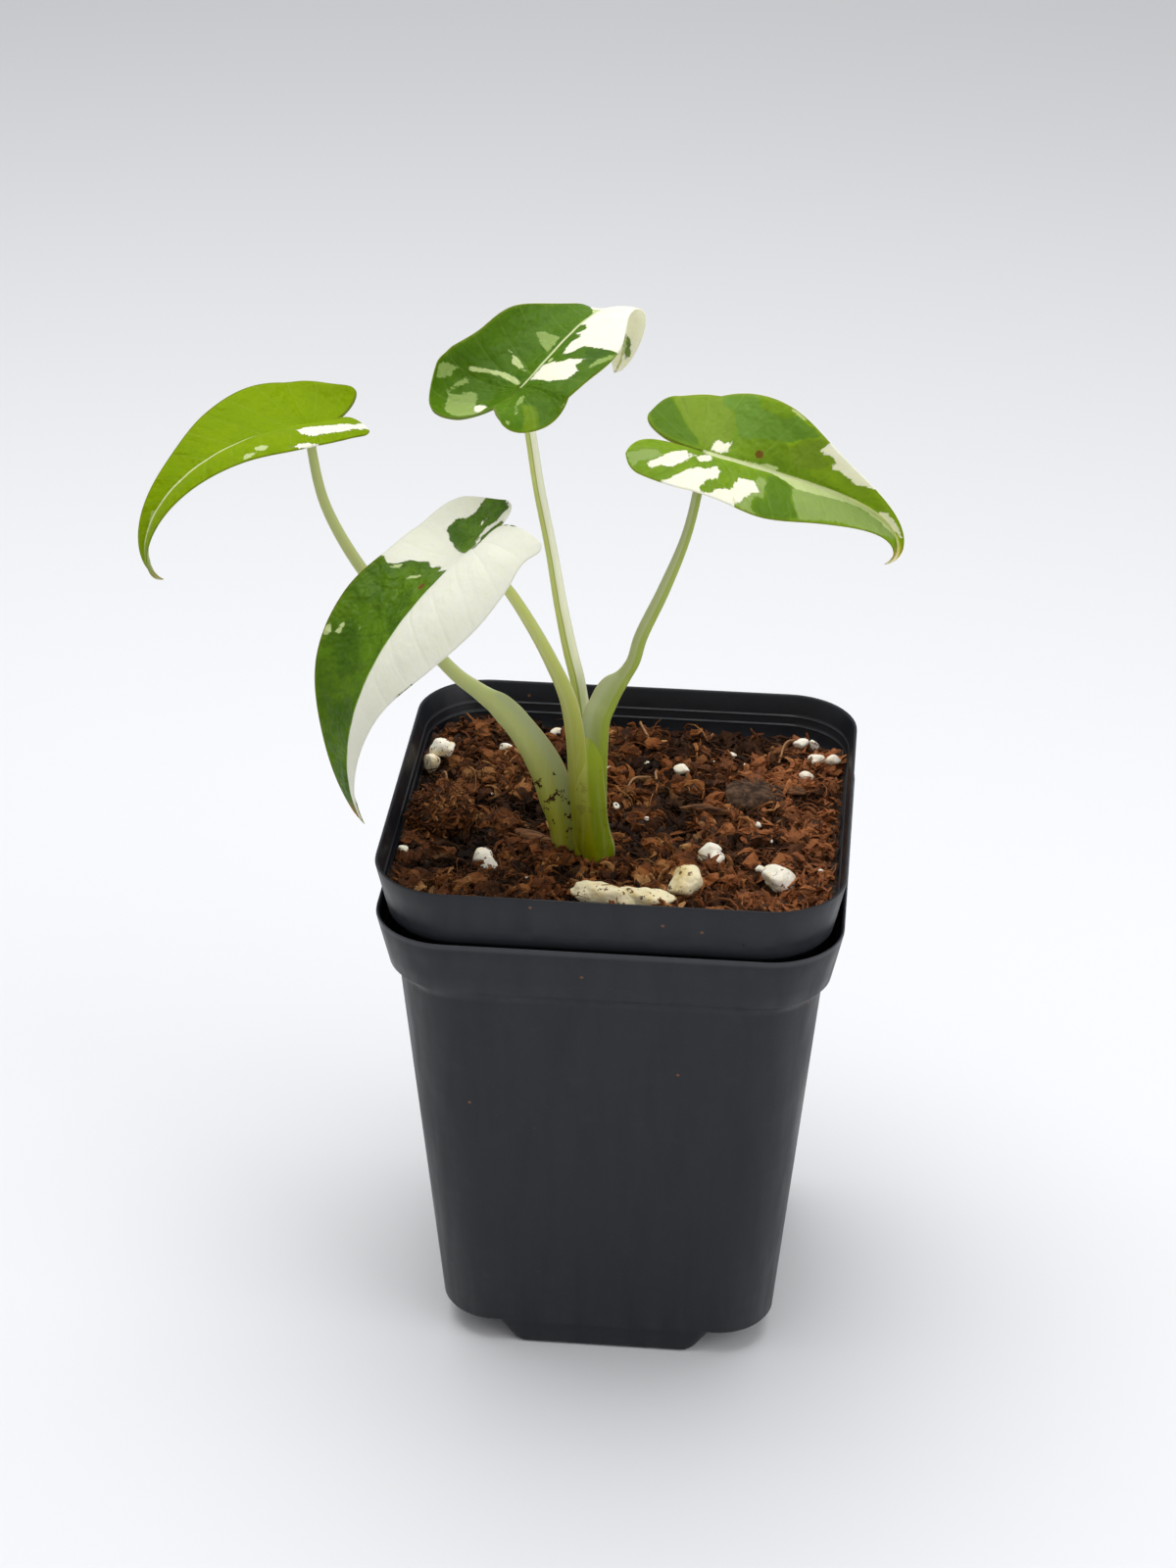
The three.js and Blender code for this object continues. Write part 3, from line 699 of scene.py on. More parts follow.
# %% Distance to the wall and depth of the hollows
HOLLOW_DEPTH = 1.1
rows_in = np.minimum(np.arange(MIX_GRID + 1), MIX_GRID - np.arange(MIX_GRID + 1))
from_wall = np.full(len(mix.data.vertices), -1.0)
from_wall[:(MIX_GRID + 1) ** 2] = np.minimum.outer(rows_in, rows_in).ravel() * (2 * fill_half / MIX_GRID)
spots = np.array([vertex.co for vertex in mix.data.vertices]) / MM
levels = MIX_TOP + 0.5 - MIX_SLOPE * spots[:, 1]
# How deep a point lies below the mix's mean level sets the painted shade of the crumbs there
hollow = np.clip((levels - spots[:, 2]) / HOLLOW_DEPTH, -1, 1)
keep(mix.data, from_wall=from_wall, hollow=hollow)
print("deep hollows:", round(float((hollow > 0.5).mean()), 2), "of the surface")

# %% Crumbs, lumps, shreds and fibres on the mix
# Shapes, copies per square metre, smallest and largest size, tilt in radians, gap to the wall
SCATTER = {
    "mix_crumbs": (CRUMBS, 560000, 0.35, 0.8, 1.2, 0.7),
    "mix_lumps": (LUMPS, 90000, 0.9, 1.9, 0.8, 1.4),
    "mix_shreds": (SHREDS, 420000, 1.2, 2.8, 0.8, 1.8),
    "mix_fibres": (FIBRES, 150000, 1.6, 4.2, 0.5, 2.4),
}


def scatter(name, ground, seed, shapes, density, small, large, tilt, gap):
    growth = scatter_tree(name, shapes, crumb.material)
    piece = grow(name, ground.data.copy(), growth, Copies_per_square_metre=density, Smallest=small,
                 Largest=large, Tilt=tilt, Edge_gap=gap, Seed=seed)
    settle(piece, slot="coir_mix")


for seed, (title, row) in enumerate(SCATTER.items(), 1):
    scatter(title, mix, seed, *row)

# %% [markdown]
# A leaf blade is a curved sheet. Its midrib starts at the junction with the stalk, bends by an
# arch and by a hook that grows towards the tip, and the two halves fold up from it and curl.
# Each half has its own width at eight stations. It could be sculpted, but a formula with named
# values gives even rows of faces, and every point knows where on the leaf it lies. The plain
# model makes its blades in the same way with a coarser grid.

# %% The four leaves
# Places, lengths and widths in millimetres, angles in degrees. A higher power sets in later.
LEAVES = {
    "left": dict(
        junction=(-59, -8, 188.5), length=51.5, heading=216, sway=7, pitch=9, arch=64, hook=96,
        hook_power=4.5, roll=17, twist=-3, lobe_bend=38, sinus_power=1.9, rib=0.8,
        halves=[dict(side=1, lobe=7, fold=27, fold_tip=-11, curl=-105,
                     widths=(13.5, 13.5, 13, 13.5, 13, 10.5, 7.5, 4)),
                dict(side=-1, lobe=13, lobe_end=0.5, lobe_round=0.6, fold=22, fold_tip=-7, curl=29,
                     widths=(9.5, 10.5, 13, 14.5, 14.5, 11.5, 6.5, 3))]),
    "front": dict(
        junction=(-26, -30.5, 175.5), length=62, heading=224, sway=-16, pitch=-23, arch=49, hook=44,
        hook_power=1.7, roll=41, twist=-37, lobe_bend=10, sinus_power=2.5,
        halves=[dict(side=1, lobe=7.5, fold=13, fold_tip=-15, curl=-136,
                     widths=(15, 15.5, 15, 16.5, 16.5, 13.5, 8, 4)),
                dict(side=-1, lobe=13, fold=6, fold_tip=11, curl=66,
                     widths=(7.5, 14, 17.5, 18, 17, 16.5, 13.5, 6.5))]),
    "top": dict(
        junction=(-19, -12, 200), length=49.5, heading=52, sway=23, pitch=30, arch=25, hook=199,
        hook_power=3.3, roll=-28, twist=10, lobe_bend=68, sinus_power=1.9,
        halves=[dict(side=1, lobe=12.5, lobe_end=0.8, lobe_round=0.4, fold=8, fold_tip=-11, fold_lobe=-43,
                     curl=92, curl_tip=29, curl_lobe=68, widths=(14, 16.5, 19, 18, 15.5, 13.5, 7, 5)),
                dict(side=-1, lobe=15.5, lobe_end=0.8, lobe_round=0.4, fold=10, fold_tip=-18,
                     fold_lobe=-18, curl=-75, curl_tip=-7, curl_lobe=-33,
                     widths=(13, 13, 13, 14, 14, 13.5, 7.5, 4.5))]),
    "right": dict(
        junction=(14.8, -14, 189.8), length=47, heading=-5, sway=10, pitch=-12, arch=10, hook=137,
        hook_power=6.5, roll=10, twist=44, lobe_bend=8, sinus_power=3,
        halves=[dict(side=1, lobe=12, fold=16, fold_tip=80, curl=0, widths=(4.5, 9, 11, 13.5, 14, 12, 7, 3)),
                dict(side=-1, lobe=13, fold=14, fold_tip=11, curl=-53,
                     widths=(9.5, 12, 12.5, 12.5, 12, 12, 8.5, 4.5))]),
}
CURL_WIDTH = 20
LOBE_ROUND = 0.3
print("leaves:", ", ".join(LEAVES))


# %% A curve through stations, and the blade's directions
def through(values, u):
    """Catmull-Rom curve through evenly spaced values, u from 0 to 1."""
    values = np.asarray(values, float)
    padded = np.r_[2 * values[0] - values[1], values, 2 * values[-1] - values[-2]]
    x = np.clip(u, 0, 1) * (len(values) - 1)
    i = np.minimum(x.astype(int), len(values) - 2)
    t = x - i
    a, b, c, d = (padded[i + k] for k in range(4))
    return 0.5 * (2 * b + (c - a) * t + (2 * a - 5 * b + 4 * c - d) * t ** 2
                  + (3 * b - a - 3 * c + d) * t ** 3)


def blade_axes(leaf, s):
    """Directions along the blade, across it and out of its face, for an array of s."""
    t = np.maximum(s, 0) / leaf["length"]
    back = np.maximum(-s, 0) / ((leaf["halves"][0]["lobe"] + leaf["halves"][1]["lobe"]) / 2)
    pitch = np.radians(leaf["pitch"] - leaf["arch"] * t - leaf["hook"] * t ** leaf["hook_power"]
                       - leaf["lobe_bend"] * back)
    heading = np.radians(leaf["heading"] + leaf["sway"] * t)
    roll = np.radians(leaf["roll"] + leaf["twist"] * t)[:, None]
    along = np.stack([np.cos(pitch) * np.cos(heading), np.cos(pitch) * np.sin(heading), np.sin(pitch)], -1)
    level = np.stack([-np.sin(heading), np.cos(heading), 0 * heading], -1)
    upward = np.cross(along, level)
    across = level * np.cos(roll) + upward * np.sin(roll)
    face = upward * np.cos(roll) - level * np.sin(roll)
    return along, across, face


left_along = blade_axes(LEAVES["left"], np.array([0.0]))[0][0]
print("the left leaf sets out along", np.round(left_along, 2))

# %% Points of a blade
MIDRIB_STEPS = 60
FLATTEST = 1e-5
RIB_SOFT = 1.2


def midrib(leaf, s):
    """The midrib's points, each the sum of short steps from the junction."""
    middles = s[:, None] * (np.arange(MIDRIB_STEPS) + 0.5) / MIDRIB_STEPS
    along = blade_axes(leaf, middles.ravel())[0].reshape(len(s), MIDRIB_STEPS, 3)
    return np.array(leaf["junction"], float) + along.sum(1) * (s / MIDRIB_STEPS)[:, None]


def blade_points(leaf, half, s, x):
    """Points of the upper face and the directions it looks in there."""
    along, across, face = blade_axes(leaf, s)
    t = np.maximum(s, 0) / leaf["length"]
    back = np.maximum(-s, 0) / half["lobe"]
    fold = np.radians(half["fold"] + half["fold_tip"] * t + half.get("fold_lobe", 0) * back)
    bend = half["curl"] + half.get("curl_tip", 0) * t + half.get("curl_lobe", 0) * back
    curl = np.radians(bend) / CURL_WIDTH
    curl = np.where(np.abs(curl) < FLATTEST, FLATTEST, curl)
    slope = fold + curl * x
    out = ((np.sin(slope) - np.sin(fold)) / curl)[:, None]
    lift = ((np.cos(fold) - np.cos(slope)) / curl)[:, None]
    points = midrib(leaf, s) + across * half["side"] * out + face * lift
    turned = (slope * np.clip(x / RIB_SOFT, 0, 1))[:, None]
    normals = face * np.cos(turned) - across * half["side"] * np.sin(turned)
    return points, normals


for leaf_name, leaf in LEAVES.items():
    tip = midrib(leaf, np.array([float(leaf["length"])]))[0]
    print(leaf_name, "leaf: tip at", np.round(tip, 1), "mm")


# %% Widths of a half
def lobe_end(half):
    """How far out from the midrib's line the lobe ends."""
    return half["widths"][0] * half.get("lobe_end", 0.95)


def margin_width(leaf, half, s):
    run = leaf["length"] + half["lobe"]
    station = np.arccos(np.clip(1 - (s + half["lobe"]) / run, -1, 1)) * 2 / np.pi
    width = np.maximum(through(half["widths"] + (0,), station), 0)
    part = half.get("lobe_round", LOBE_ROUND)
    rounding = np.clip((-s / half["lobe"] - 1 + part) / part, 0, 1)
    return width - (width - lobe_end(half)) * (1 - np.sqrt(1 - rounding ** 2))


def sinus_width(leaf, half, s):
    """How far the open notch between the lobes reaches out beside the midrib's line."""
    back = np.clip(-s / half["lobe"], 0, 1)
    return lobe_end(half) * (1 - np.sqrt(1 - back ** leaf["sinus_power"]))


for leaf_name, leaf in LEAVES.items():
    at_junction = [round(float(margin_width(leaf, half, np.array([0.0]))[0]), 1) for half in leaf["halves"]]
    print(leaf_name, "leaf: half widths at the junction", at_junction, "mm")

# %% [markdown]
# Veins decide how a leaf catches the light. The side veins leave the midrib at a steep angle
# and run forward to the margin, and in the lobes they fan out from the junction. They could be
# drawn one by one, but one formula gives, for any place on the blade, which vein it is nearest
# to and how far off it is. The blade bulges a little between them, and the same number later
# draws them in the colour.

# %% Veins
VEIN_SLANT = 0.55
VEIN_SPACING = 6.0
FAN_SPACING = 4.6
# A slanting vein's spacing is smaller when measured at a right angle to it
VEIN_SQUARE = 0.88
FAN_AT = 10
QUILT = 0.05


def vein_place(s, x):
    """A number that goes up by one from each side vein to the next."""
    across = np.abs(x)
    ahead = (s - VEIN_SLANT * across) / VEIN_SPACING
    angle = np.arctan2(across, s) - math.atan2(1, VEIN_SLANT)
    fan = -angle * FAN_AT / FAN_SPACING
    return np.where(ahead > 0, ahead, fan) + 0.45


def vein_distance(s, x):
    """Millimetres to the nearest side vein."""
    place = vein_place(s, x)
    spacing = np.where(s > VEIN_SLANT * np.abs(x), VEIN_SPACING * VEIN_SQUARE,
                       np.hypot(s, x) * FAN_SPACING / FAN_AT)
    return np.abs(place - np.round(place)) * spacing


print("side veins along a 50 mm midrib:", int(vein_place(50.0, 0.0)))

# %% [markdown]
# The markings are irregular patches with ragged edges, like spilled paint. They could be
# painted as an image, but a picture has a fixed sharpness. Here each patch is a rough outline
# in the leaf's own terms, millimetres along the midrib and out from it, positive in the left
# half. Every point of the blade stores its distance to the outlines of each tone, and the
# material adds noise to that distance before it draws the edge.

# %% Patches of the left leaf
PATCHES = {}
PATCHES["left"] = [
    ("cream", [(6.5, 7.5), (4, 7.5), (1, 8), (-2.5, 8), (-5, 9.5), (-7.5, 11), (-7.5, 13.5), (-6, 12),
               (-4, 11), (-1, 11), (3, 11), (5, 11), (6.5, 9.5)]),
    ("cream", [(10, 12), (8, 12), (5, 13), (4, 13.8), (7, 13.6), (8.5, 13)]),
    ("pale", [(15.5, 8.5), (13.5, 9), (13, 10), (14.5, 10.5), (15.5, 9.5)]),
    ("pale", [(17.5, 9), (15.5, 10), (17, 10.5), (18.5, 10)]),
    ("grey", [(35.5, -1), (36, 1.5), (38.5, 2.5), (39.5, 1), (38, -0.5)]),
]
print("patches on the left leaf:", len(PATCHES["left"]))

# %% Patches of the front leaf
PATCHES["front"] = [
    ("green", [(1.5, 0), (5.5, 0), (6, -1.5), (6.5, -4), (5.5, -4), (5.5, -6), (6.5, -6.5), (6, -7.5),
               (5.5, -8.5), (7, -11.5), (8, -12.5), (10, -13.5), (11, -15), (10, -16.5), (12, -18),
               (62, -18), (62, 0.1)]),
    ("green", [(1, 4.5), (0.5, -4), (-0.5, -8), (-1.5, -11), (-3, -13.5), (-5.5, -13.5), (-7, -11.5),
               (-9, -11.5), (-12, -12), (-12.5, -10.5), (-13, -7.5), (-12.5, -6), (-11.5, -4),
               (-10.5, -4.5), (-8.5, -4), (-6.5, -5.5), (-4, -4.5), (-2.5, -3.5)]),
    ("green", [(1, 4.5), (-2, 3.5), (-4, 2.5), (-6, 5), (-8.5, -1.5), (-6.5, -3), (-4, -3.5), (-0.5, 3)]),
    ("green", [(-8, -1), (-6.5, 7), (-7, 8.5), (-6, 5.5)]),
    ("green", [(30.5, 10), (27, 12), (25.5, 12.7), (29, 11)]),
    ("cream", [(-9.5, -8.5), (-7, -7), (-6, -7.3), (-8.5, -8.2)]),
    ("pale", [(11.2, -9), (9.7, -7), (8.3, -6.2), (8.9, -7.2), (10.3, -9)]),
    ("pale", [(10.8, -14.2), (9.2, -12.4), (10, -12.1), (11.2, -13.6)]),
    ("pale", [(28.2, -15.6), (26.4, -14.6), (28, -13.4), (29, -14.2)]),
    ("pale", [(27.4, -13), (25, -12.8), (25.2, -12.1), (27.2, -12)]),
    ("pale", [(25, -9.4), (23.6, -9.2), (24.4, -8.6)]),
]
print("patches on the front leaf:", len(PATCHES["front"]))

# %% Patches of the top leaf
PATCHES["top"] = [
    ("cream", [(1.5, -2), (3.5, -1.5), (5.5, -1.5), (6.5, -4), (6.5, -6.5), (7.5, -7), (8, -9), (8.5, -10),
               (6.5, -9.5), (5.5, -11), (4.5, -11), (3, -10.5), (1.5, -8), (1.5, -5)]),
    ("cream", [(23.5, -0.3), (18, -0.3), (17.5, -2.5), (16, -4), (14.5, -2.5), (14, -4.5), (12, -3.5),
               (11.5, -3.5), (8.5, -4.5), (9, -6), (11.5, -7.5), (11.5, -9), (12.5, -12), (13, -14.5),
               (30, -14), (50, -6), (50, 0), (25, -0.3)]),
    ("cream", [(26, 0), (26, 2), (32, 6), (50, 6), (50, 0)]),
    ("over", [(39.5, -0.3), (40.5, -1.2), (43.5, -1.4), (44.5, -0.8), (43, -0.2)]),
    ("pale", [(23.5, 0.5), (28, 3), (26.5, 0), (25, 0)]),
    ("grey", [(13.5, 7), (14.5, 5.5), (14, 1.5), (9.5, 1), (11.5, 4.5)]),
    ("pale", [(-0.8, 13), (0.6, 10.5), (1.7, 8), (2.4, 6), (2, 3.5), (1.2, 1), (0.4, 1.4), (0.9, 4),
              (1.1, 6.5), (0.4, 9), (-1.4, 12.4)]),
    ("pale", [(7, 9), (7, 8), (5.5, 4.5), (4, 2), (4, 3.5), (5, 7), (6, 7)]),
    ("grey", [(-9, 16.5), (-8.5, 17.5), (-7, 18.5), (-4.5, 17), (-2, 14), (-4, 15), (-5, 14.5), (-7.5, 16)]),
    ("grey", [(-8, 13.5), (-5, 13), (-3, 12.5), (-2.5, 11), (-5, 12.5), (-7, 12.5)]),
    ("grey", [(-7.5, 12.5), (-4, 9.5), (-4, 8), (-6.5, 6.5), (-8, 4), (-10.5, 7), (-10.5, 9), (-10, 10.5)]),
    ("cream", [(-6, 7), (-5, 5.5), (-5.5, 4), (-8, 4), (-7, 6)]),
    ("grey", [(7, -12), (9.5, -12), (11.5, -13), (13, -13.7), (11.5, -14), (8, -12.5)]),
    ("pale", [(7.3, -1.6), (7.6, -2.7), (6.5, -3.6), (6.1, -2.5)]),
    ("grey", [(-3, -4.5), (-5, -6), (-7, -6), (-10, -8), (-11, -8.5), (-6.5, -5), (-4, -4)]),
    ("grey", [(-14.7, -10.5), (-14, -9.5), (-13.3, -10), (-13.8, -11.2)]),
    ("grey", [(-2, -13.5), (-0.5, -14), (-3.5, -13.4)]),
    ("deep", [(10.5, -8.5), (12.5, -12), (12.8, -13.7), (10.5, -11.7), (8.5, -12), (7.5, -11)]),
    ("deep", [(2.7, 4.8), (3, 1), (1.7, 1), (1.7, 3)]),
    ("lime", [(-6.5, -6), (-5.5, -9), (-8.5, -13), (-12, -13)]),
]
print("patches on the top leaf:", len(PATCHES["top"]))

# %% Patches of the right leaf
PATCHES["right"] = [
    ("green", [(14, 11.5), (20, 9.5), (24, 8.2), (31, 6.5), (41, 3), (47, 0.6), (47, 0), (35, 0.2),
               (22, 1), (16, 3.5), (13, 7)]),
    ("deep", [(-12, 4.5), (-12, 6.5), (-11, 9), (-9, 10.2), (-7.5, 8.5), (-4, 4.5), (-1.5, 2.5), (-1.5, 1),
              (-4, 1), (-7.5, 1), (-10, 2)]),
    ("lime", [(-9, 10.2), (-3, 13), (0.5, 14.2), (1, 11.5), (3.5, 10), (4.5, 7), (4, 3.5), (0.5, 1),
              (-1.5, 2.5), (-4, 4.5)]),
    # Painted light: this patch lightens the green of the upper half near the junction, where it turns away
    # from the light
    ("over", [(0.5, 14.2), (6.5, 14), (8, 11), (12.5, 10), (14.5, 11), (16, 10.5), (20, 9), (17, 7.5),
              (14.5, 6), (10, 5.5), (5.5, 4.5), (3.5, 10), (1, 11.5)]),
    ("lime", [(15, 5), (17, 7), (20, 9), (21.5, 8), (20.5, 5.5), (22.5, 5.5), (22.5, 4.5), (21, 3),
              (17.5, 2), (15.5, 3)]),
    ("cream", [(1.5, 1), (1.5, 2), (2, 3), (3, 2.5), (4.5, 3.5), (4, 1.5), (2.5, 1)]),
    ("cream", [(20.5, 6.5), (23, 6.5), (24, 5.5), (23, 4.5), (25, 4.5), (28, 3.5), (30.5, 4.5), (31.5, 5),
               (27.5, 7), (22, 9)]),
    ("pale", [(13, 12), (14, 12), (16.5, 11), (16, 10.5)]),
    ("pale", [(7.5, 0.5), (10, 0.7), (12.5, 1.1), (14.5, 0.9), (13, 0), (10, 0)]),
    ("pale", [(12.5, -0.5), (17, 0.3), (28, 0.3), (35, -0.2), (41, -0.3), (37, -1.5), (29, -1.3),
              (21.5, -2.5), (18, -3), (16.5, -2)]),
    ("grey", [(17.5, -3), (21.5, -2), (29, -1.3), (37, -1.5), (40.5, -1), (37, -3.5), (32, -5.5), (26, -7),
              (20, -9.5), (19, -8), (18, -5.5)]),
    ("deep", [(12.5, -2), (14.5, -0.5), (16.5, -2), (17.5, -3.5), (18, -6.5), (20, -9), (17.5, -11),
              (13, -12), (11.5, -11), (11.5, -8.5), (13, -8.5), (13, -6.5), (12, -5.5), (12.5, -4)]),
    ("deep", [(26, -3), (28, -1.5), (32, -2), (35.5, -2.5), (32, -4.5), (28, -4)]),
    ("cream", [(7, -9), (7.5, -7), (8, -5.5), (10.5, -5), (11.5, -7), (10.5, -7.5), (9.5, -9), (8.5, -11),
               (7.5, -10)]),
    ("grey", [(10.5, -5), (11, -3), (12, -3), (12.5, -4), (12.5, -6), (13, -8), (11.5, -8), (11, -9),
              (11, -11.5), (13, -12), (10, -12), (8, -11.5), (9.5, -8.5), (11, -7)]),
    ("cream", [(-4, -11.5), (-1.5, -8), (0, -6.5), (2, -6), (3, -4.5), (4, -5.5), (3.5, -7.5), (2, -8.5),
               (1.5, -10), (1, -11), (2, -12), (4, -11.5), (4.5, -10), (7, -9), (7.5, -10.5), (8, -12.5),
               (-1, -13), (-5, -12.5)]),
    ("cream", [(-8.5, -9.5), (-5, -4), (-3, -2), (-2.5, -4), (-1.5, -2.5), (-2.5, -5), (-3.5, -6.5),
               (-4.5, -8), (-6.5, -8.5), (-8, -10)]),
    ("grey", [(-13, -9), (-12, -8), (-10, -6), (-8, -5), (-6.5, -6), (-8, -8), (-10, -9.5), (-11, -11.5)]),
    ("cream", [(-0.5, -3), (1, -1), (1.5, -1.5), (1.5, -3), (0, -4)]),
    ("cream", [(34.5, 0.5), (35.5, 1.5), (40, 1), (38.5, 0.3), (36.5, 0.2)]),
]
print("patches on the right leaf:", len(PATCHES["right"]))

# %% Order of the tones
TONES = ("green", "deep", "lime", "grey", "pale", "cream", "over")
FAR = 4.0
print("tones, from the lowest up:", ", ".join(TONES))


# %% Distance to the patches
def distance_to(outline, s, x):
    """Millimetres from each point to an outline, below 0 inside it."""
    corners = np.array(outline, float)
    nearest = np.full(len(s), 1e9)
    inside = np.zeros(len(s), bool)
    for (s0, x0), (s1, x1) in zip(corners, np.roll(corners, -1, 0)):
        ds, dx = s1 - s0, x1 - x0
        along = np.clip(((s - s0) * ds + (x - x0) * dx) / max(ds * ds + dx * dx, 1e-9), 0, 1)
        nearest = np.minimum(nearest, np.hypot(s - s0 - along * ds, x - x0 - along * dx))
        if s0 != s1:
            crosses = ((s0 > s) != (s1 > s)) & (x < x0 + (s - s0) / (s1 - s0) * dx)
            inside ^= crosses
    return np.where(inside, -nearest, nearest)


def tone_distances(name, s, x):
    field = {tone: np.full(len(s), FAR) for tone in TONES}
    for tone, outline in PATCHES[name]:
        field[tone] = np.minimum(field[tone], distance_to(outline, s, x))
    return field


middle_of_top = tone_distances("top", np.array([12.0]), np.array([3.0]))
print("grey at a place on the top leaf:", round(float(middle_of_top["grey"][0]), 2), "mm off")

# %% [markdown]
# The leaf finish starts with the green of the leaf and lays the tones over it one by one. Each
# edge is the stored distance plus noise that is stretched along the side veins, because in a
# real chimera the colour follows the cells between veins. The veins stay a little paler than
# the green around them, and the whole leaf has a satin cuticle and lets some light through.

# %% Looks of each leaf
# Base and its mottling, the tones, how much the veins show, the gloss of the surface, how much
# light goes through, the height of the billows between veins and of the puffs in millimetres,
# and the place of a rust spot where the leaf has one
LEAF_LOOKS = {
    "left": dict(base=tint(122, 148, 0), deep=tint(112, 140, 4), lime=tint(122, 146, 30),
                 green=tint(90, 126, 20), veins=0.05, gloss=0.03, clear=0.4, billow=0.4, puff=0.8),
    "front": dict(base=tint(228, 228, 214), mottle=tint(222, 223, 204), rib=tint(126, 156, 52),
                  deep=tint(66, 104, 18), lime=tint(104, 140, 10), green=tint(63, 97, 5), veins=0.02,
                  gloss=0.14, clear=0.4, billow=0.15, puff=1.6, rust=(11, -3.8, 0), cream_base=True),
    "top": dict(base=tint(77, 113, 3), deep=tint(63, 99, 9), lime=tint(102, 130, 6),
                green=tint(77, 113, 3), veins=0.06, gloss=0.1, clear=1.0, billow=0.4, puff=0.8),
    # The right leaf's over tone is painted light for the part of its upper half that turns away from the
    # light
    "right": dict(base=tint(120, 151, 26), deep=tint(90, 124, 22), lime=tint(122, 148, 36),
                  green=tint(138, 168, 28), over=tint(106, 142, 44), veins=0.08, gloss=0.1, clear=1.0,
                  billow=0.4, puff=0.8, rust=(10, 2.4, 0), cream_grown=0.3),
}
GREY_TONE = tint(140, 162, 88)
PALE_TONE = tint(186, 198, 140)
CREAM_TONE = tint(236, 234, 214)
UNDERSIDE = tint(150, 168, 112)
TIP_TAN = tint(150, 110, 50)
RIM_OLIVE = tint(92, 96, 20)
RIB_TONE = tint(206, 212, 164)
VEIN_TONE = tint(190, 204, 120)
RUST_TONE = tint(112, 58, 20)
SPECKLE_TONE = tint(60, 90, 20)
SOFT_EDGE = 0.45
CRISP_EDGE = 0.1
print("leaves with a rust spot:", ", ".join(name for name in LEAF_LOOKS if "rust" in LEAF_LOOKS[name]))


# %% Leaf colours
def ragged_edges(leaf, place, vein):
    """A place measured along the side veins, a fine noise, and how far edges wander in mm."""
    across = leaf.axis(place, 1)
    along_veins = leaf.add("ShaderNodeCombineXYZ", {0: leaf.times(vein, 7.0), 1: leaf.times(across, 0.45)})
    ragged = leaf.noise(along_veins, scale=1, detail=5, roughness=0.75)
    fine = leaf.noise(place, scale=2.2)
    wobble = leaf.plus(leaf.times(leaf.minus(ragged, 0.5), 2.0), leaf.times(leaf.minus(fine, 0.5), 0.5))
    return along_veins, fine, wobble


def lay_tones(leaf, looks, place, wobble):
    """The tones one over the other, and where the leaf is creamy in the end."""
    mottled = leaf.step(leaf.noise(place, scale=0.12, roughness=0.6), 0.35, 0.65)
    colour = leaf.blend(leaf.times(mottled, 0.5), looks["base"], looks.get("mottle", looks["deep"]))
    green = leaf.blend(mottled, looks["green"], leaf.blend(0.5, looks["green"], looks["lime"]))
    painted = {"green": green, "deep": looks["deep"], "lime": looks["lime"], "grey": GREY_TONE,
               "pale": PALE_TONE, "cream": CREAM_TONE, "over": looks.get("over", green)}
    cream_base = looks.get("cream_base", False)
    creamy = 1.0 if cream_base else 0.0
    for tone in TONES:
        soft = SOFT_EDGE if tone in ("deep", "lime") else CRISP_EDGE
        edge = leaf.plus(leaf.attribute("to_" + tone), leaf.times(wobble, 0.6 if tone == "pale" else 1.0))
        if tone == "cream" and "cream_grown" in looks:
            edge = leaf.minus(edge, looks["cream_grown"])
        within = leaf.step(edge, soft, -soft)
        colour = leaf.blend(within, colour, painted[tone])
        if cream_base or tone in ("cream", "over"):
            target = 1.0 if tone == "cream" else 0.0
            creamy = leaf.add("ShaderNodeMix", {0: within, 2: creamy, 3: target}, data_type="FLOAT")
    return colour, creamy


print("most edges are", CRISP_EDGE, "mm soft, those of the deep and lime patches", SOFT_EDGE, "mm")


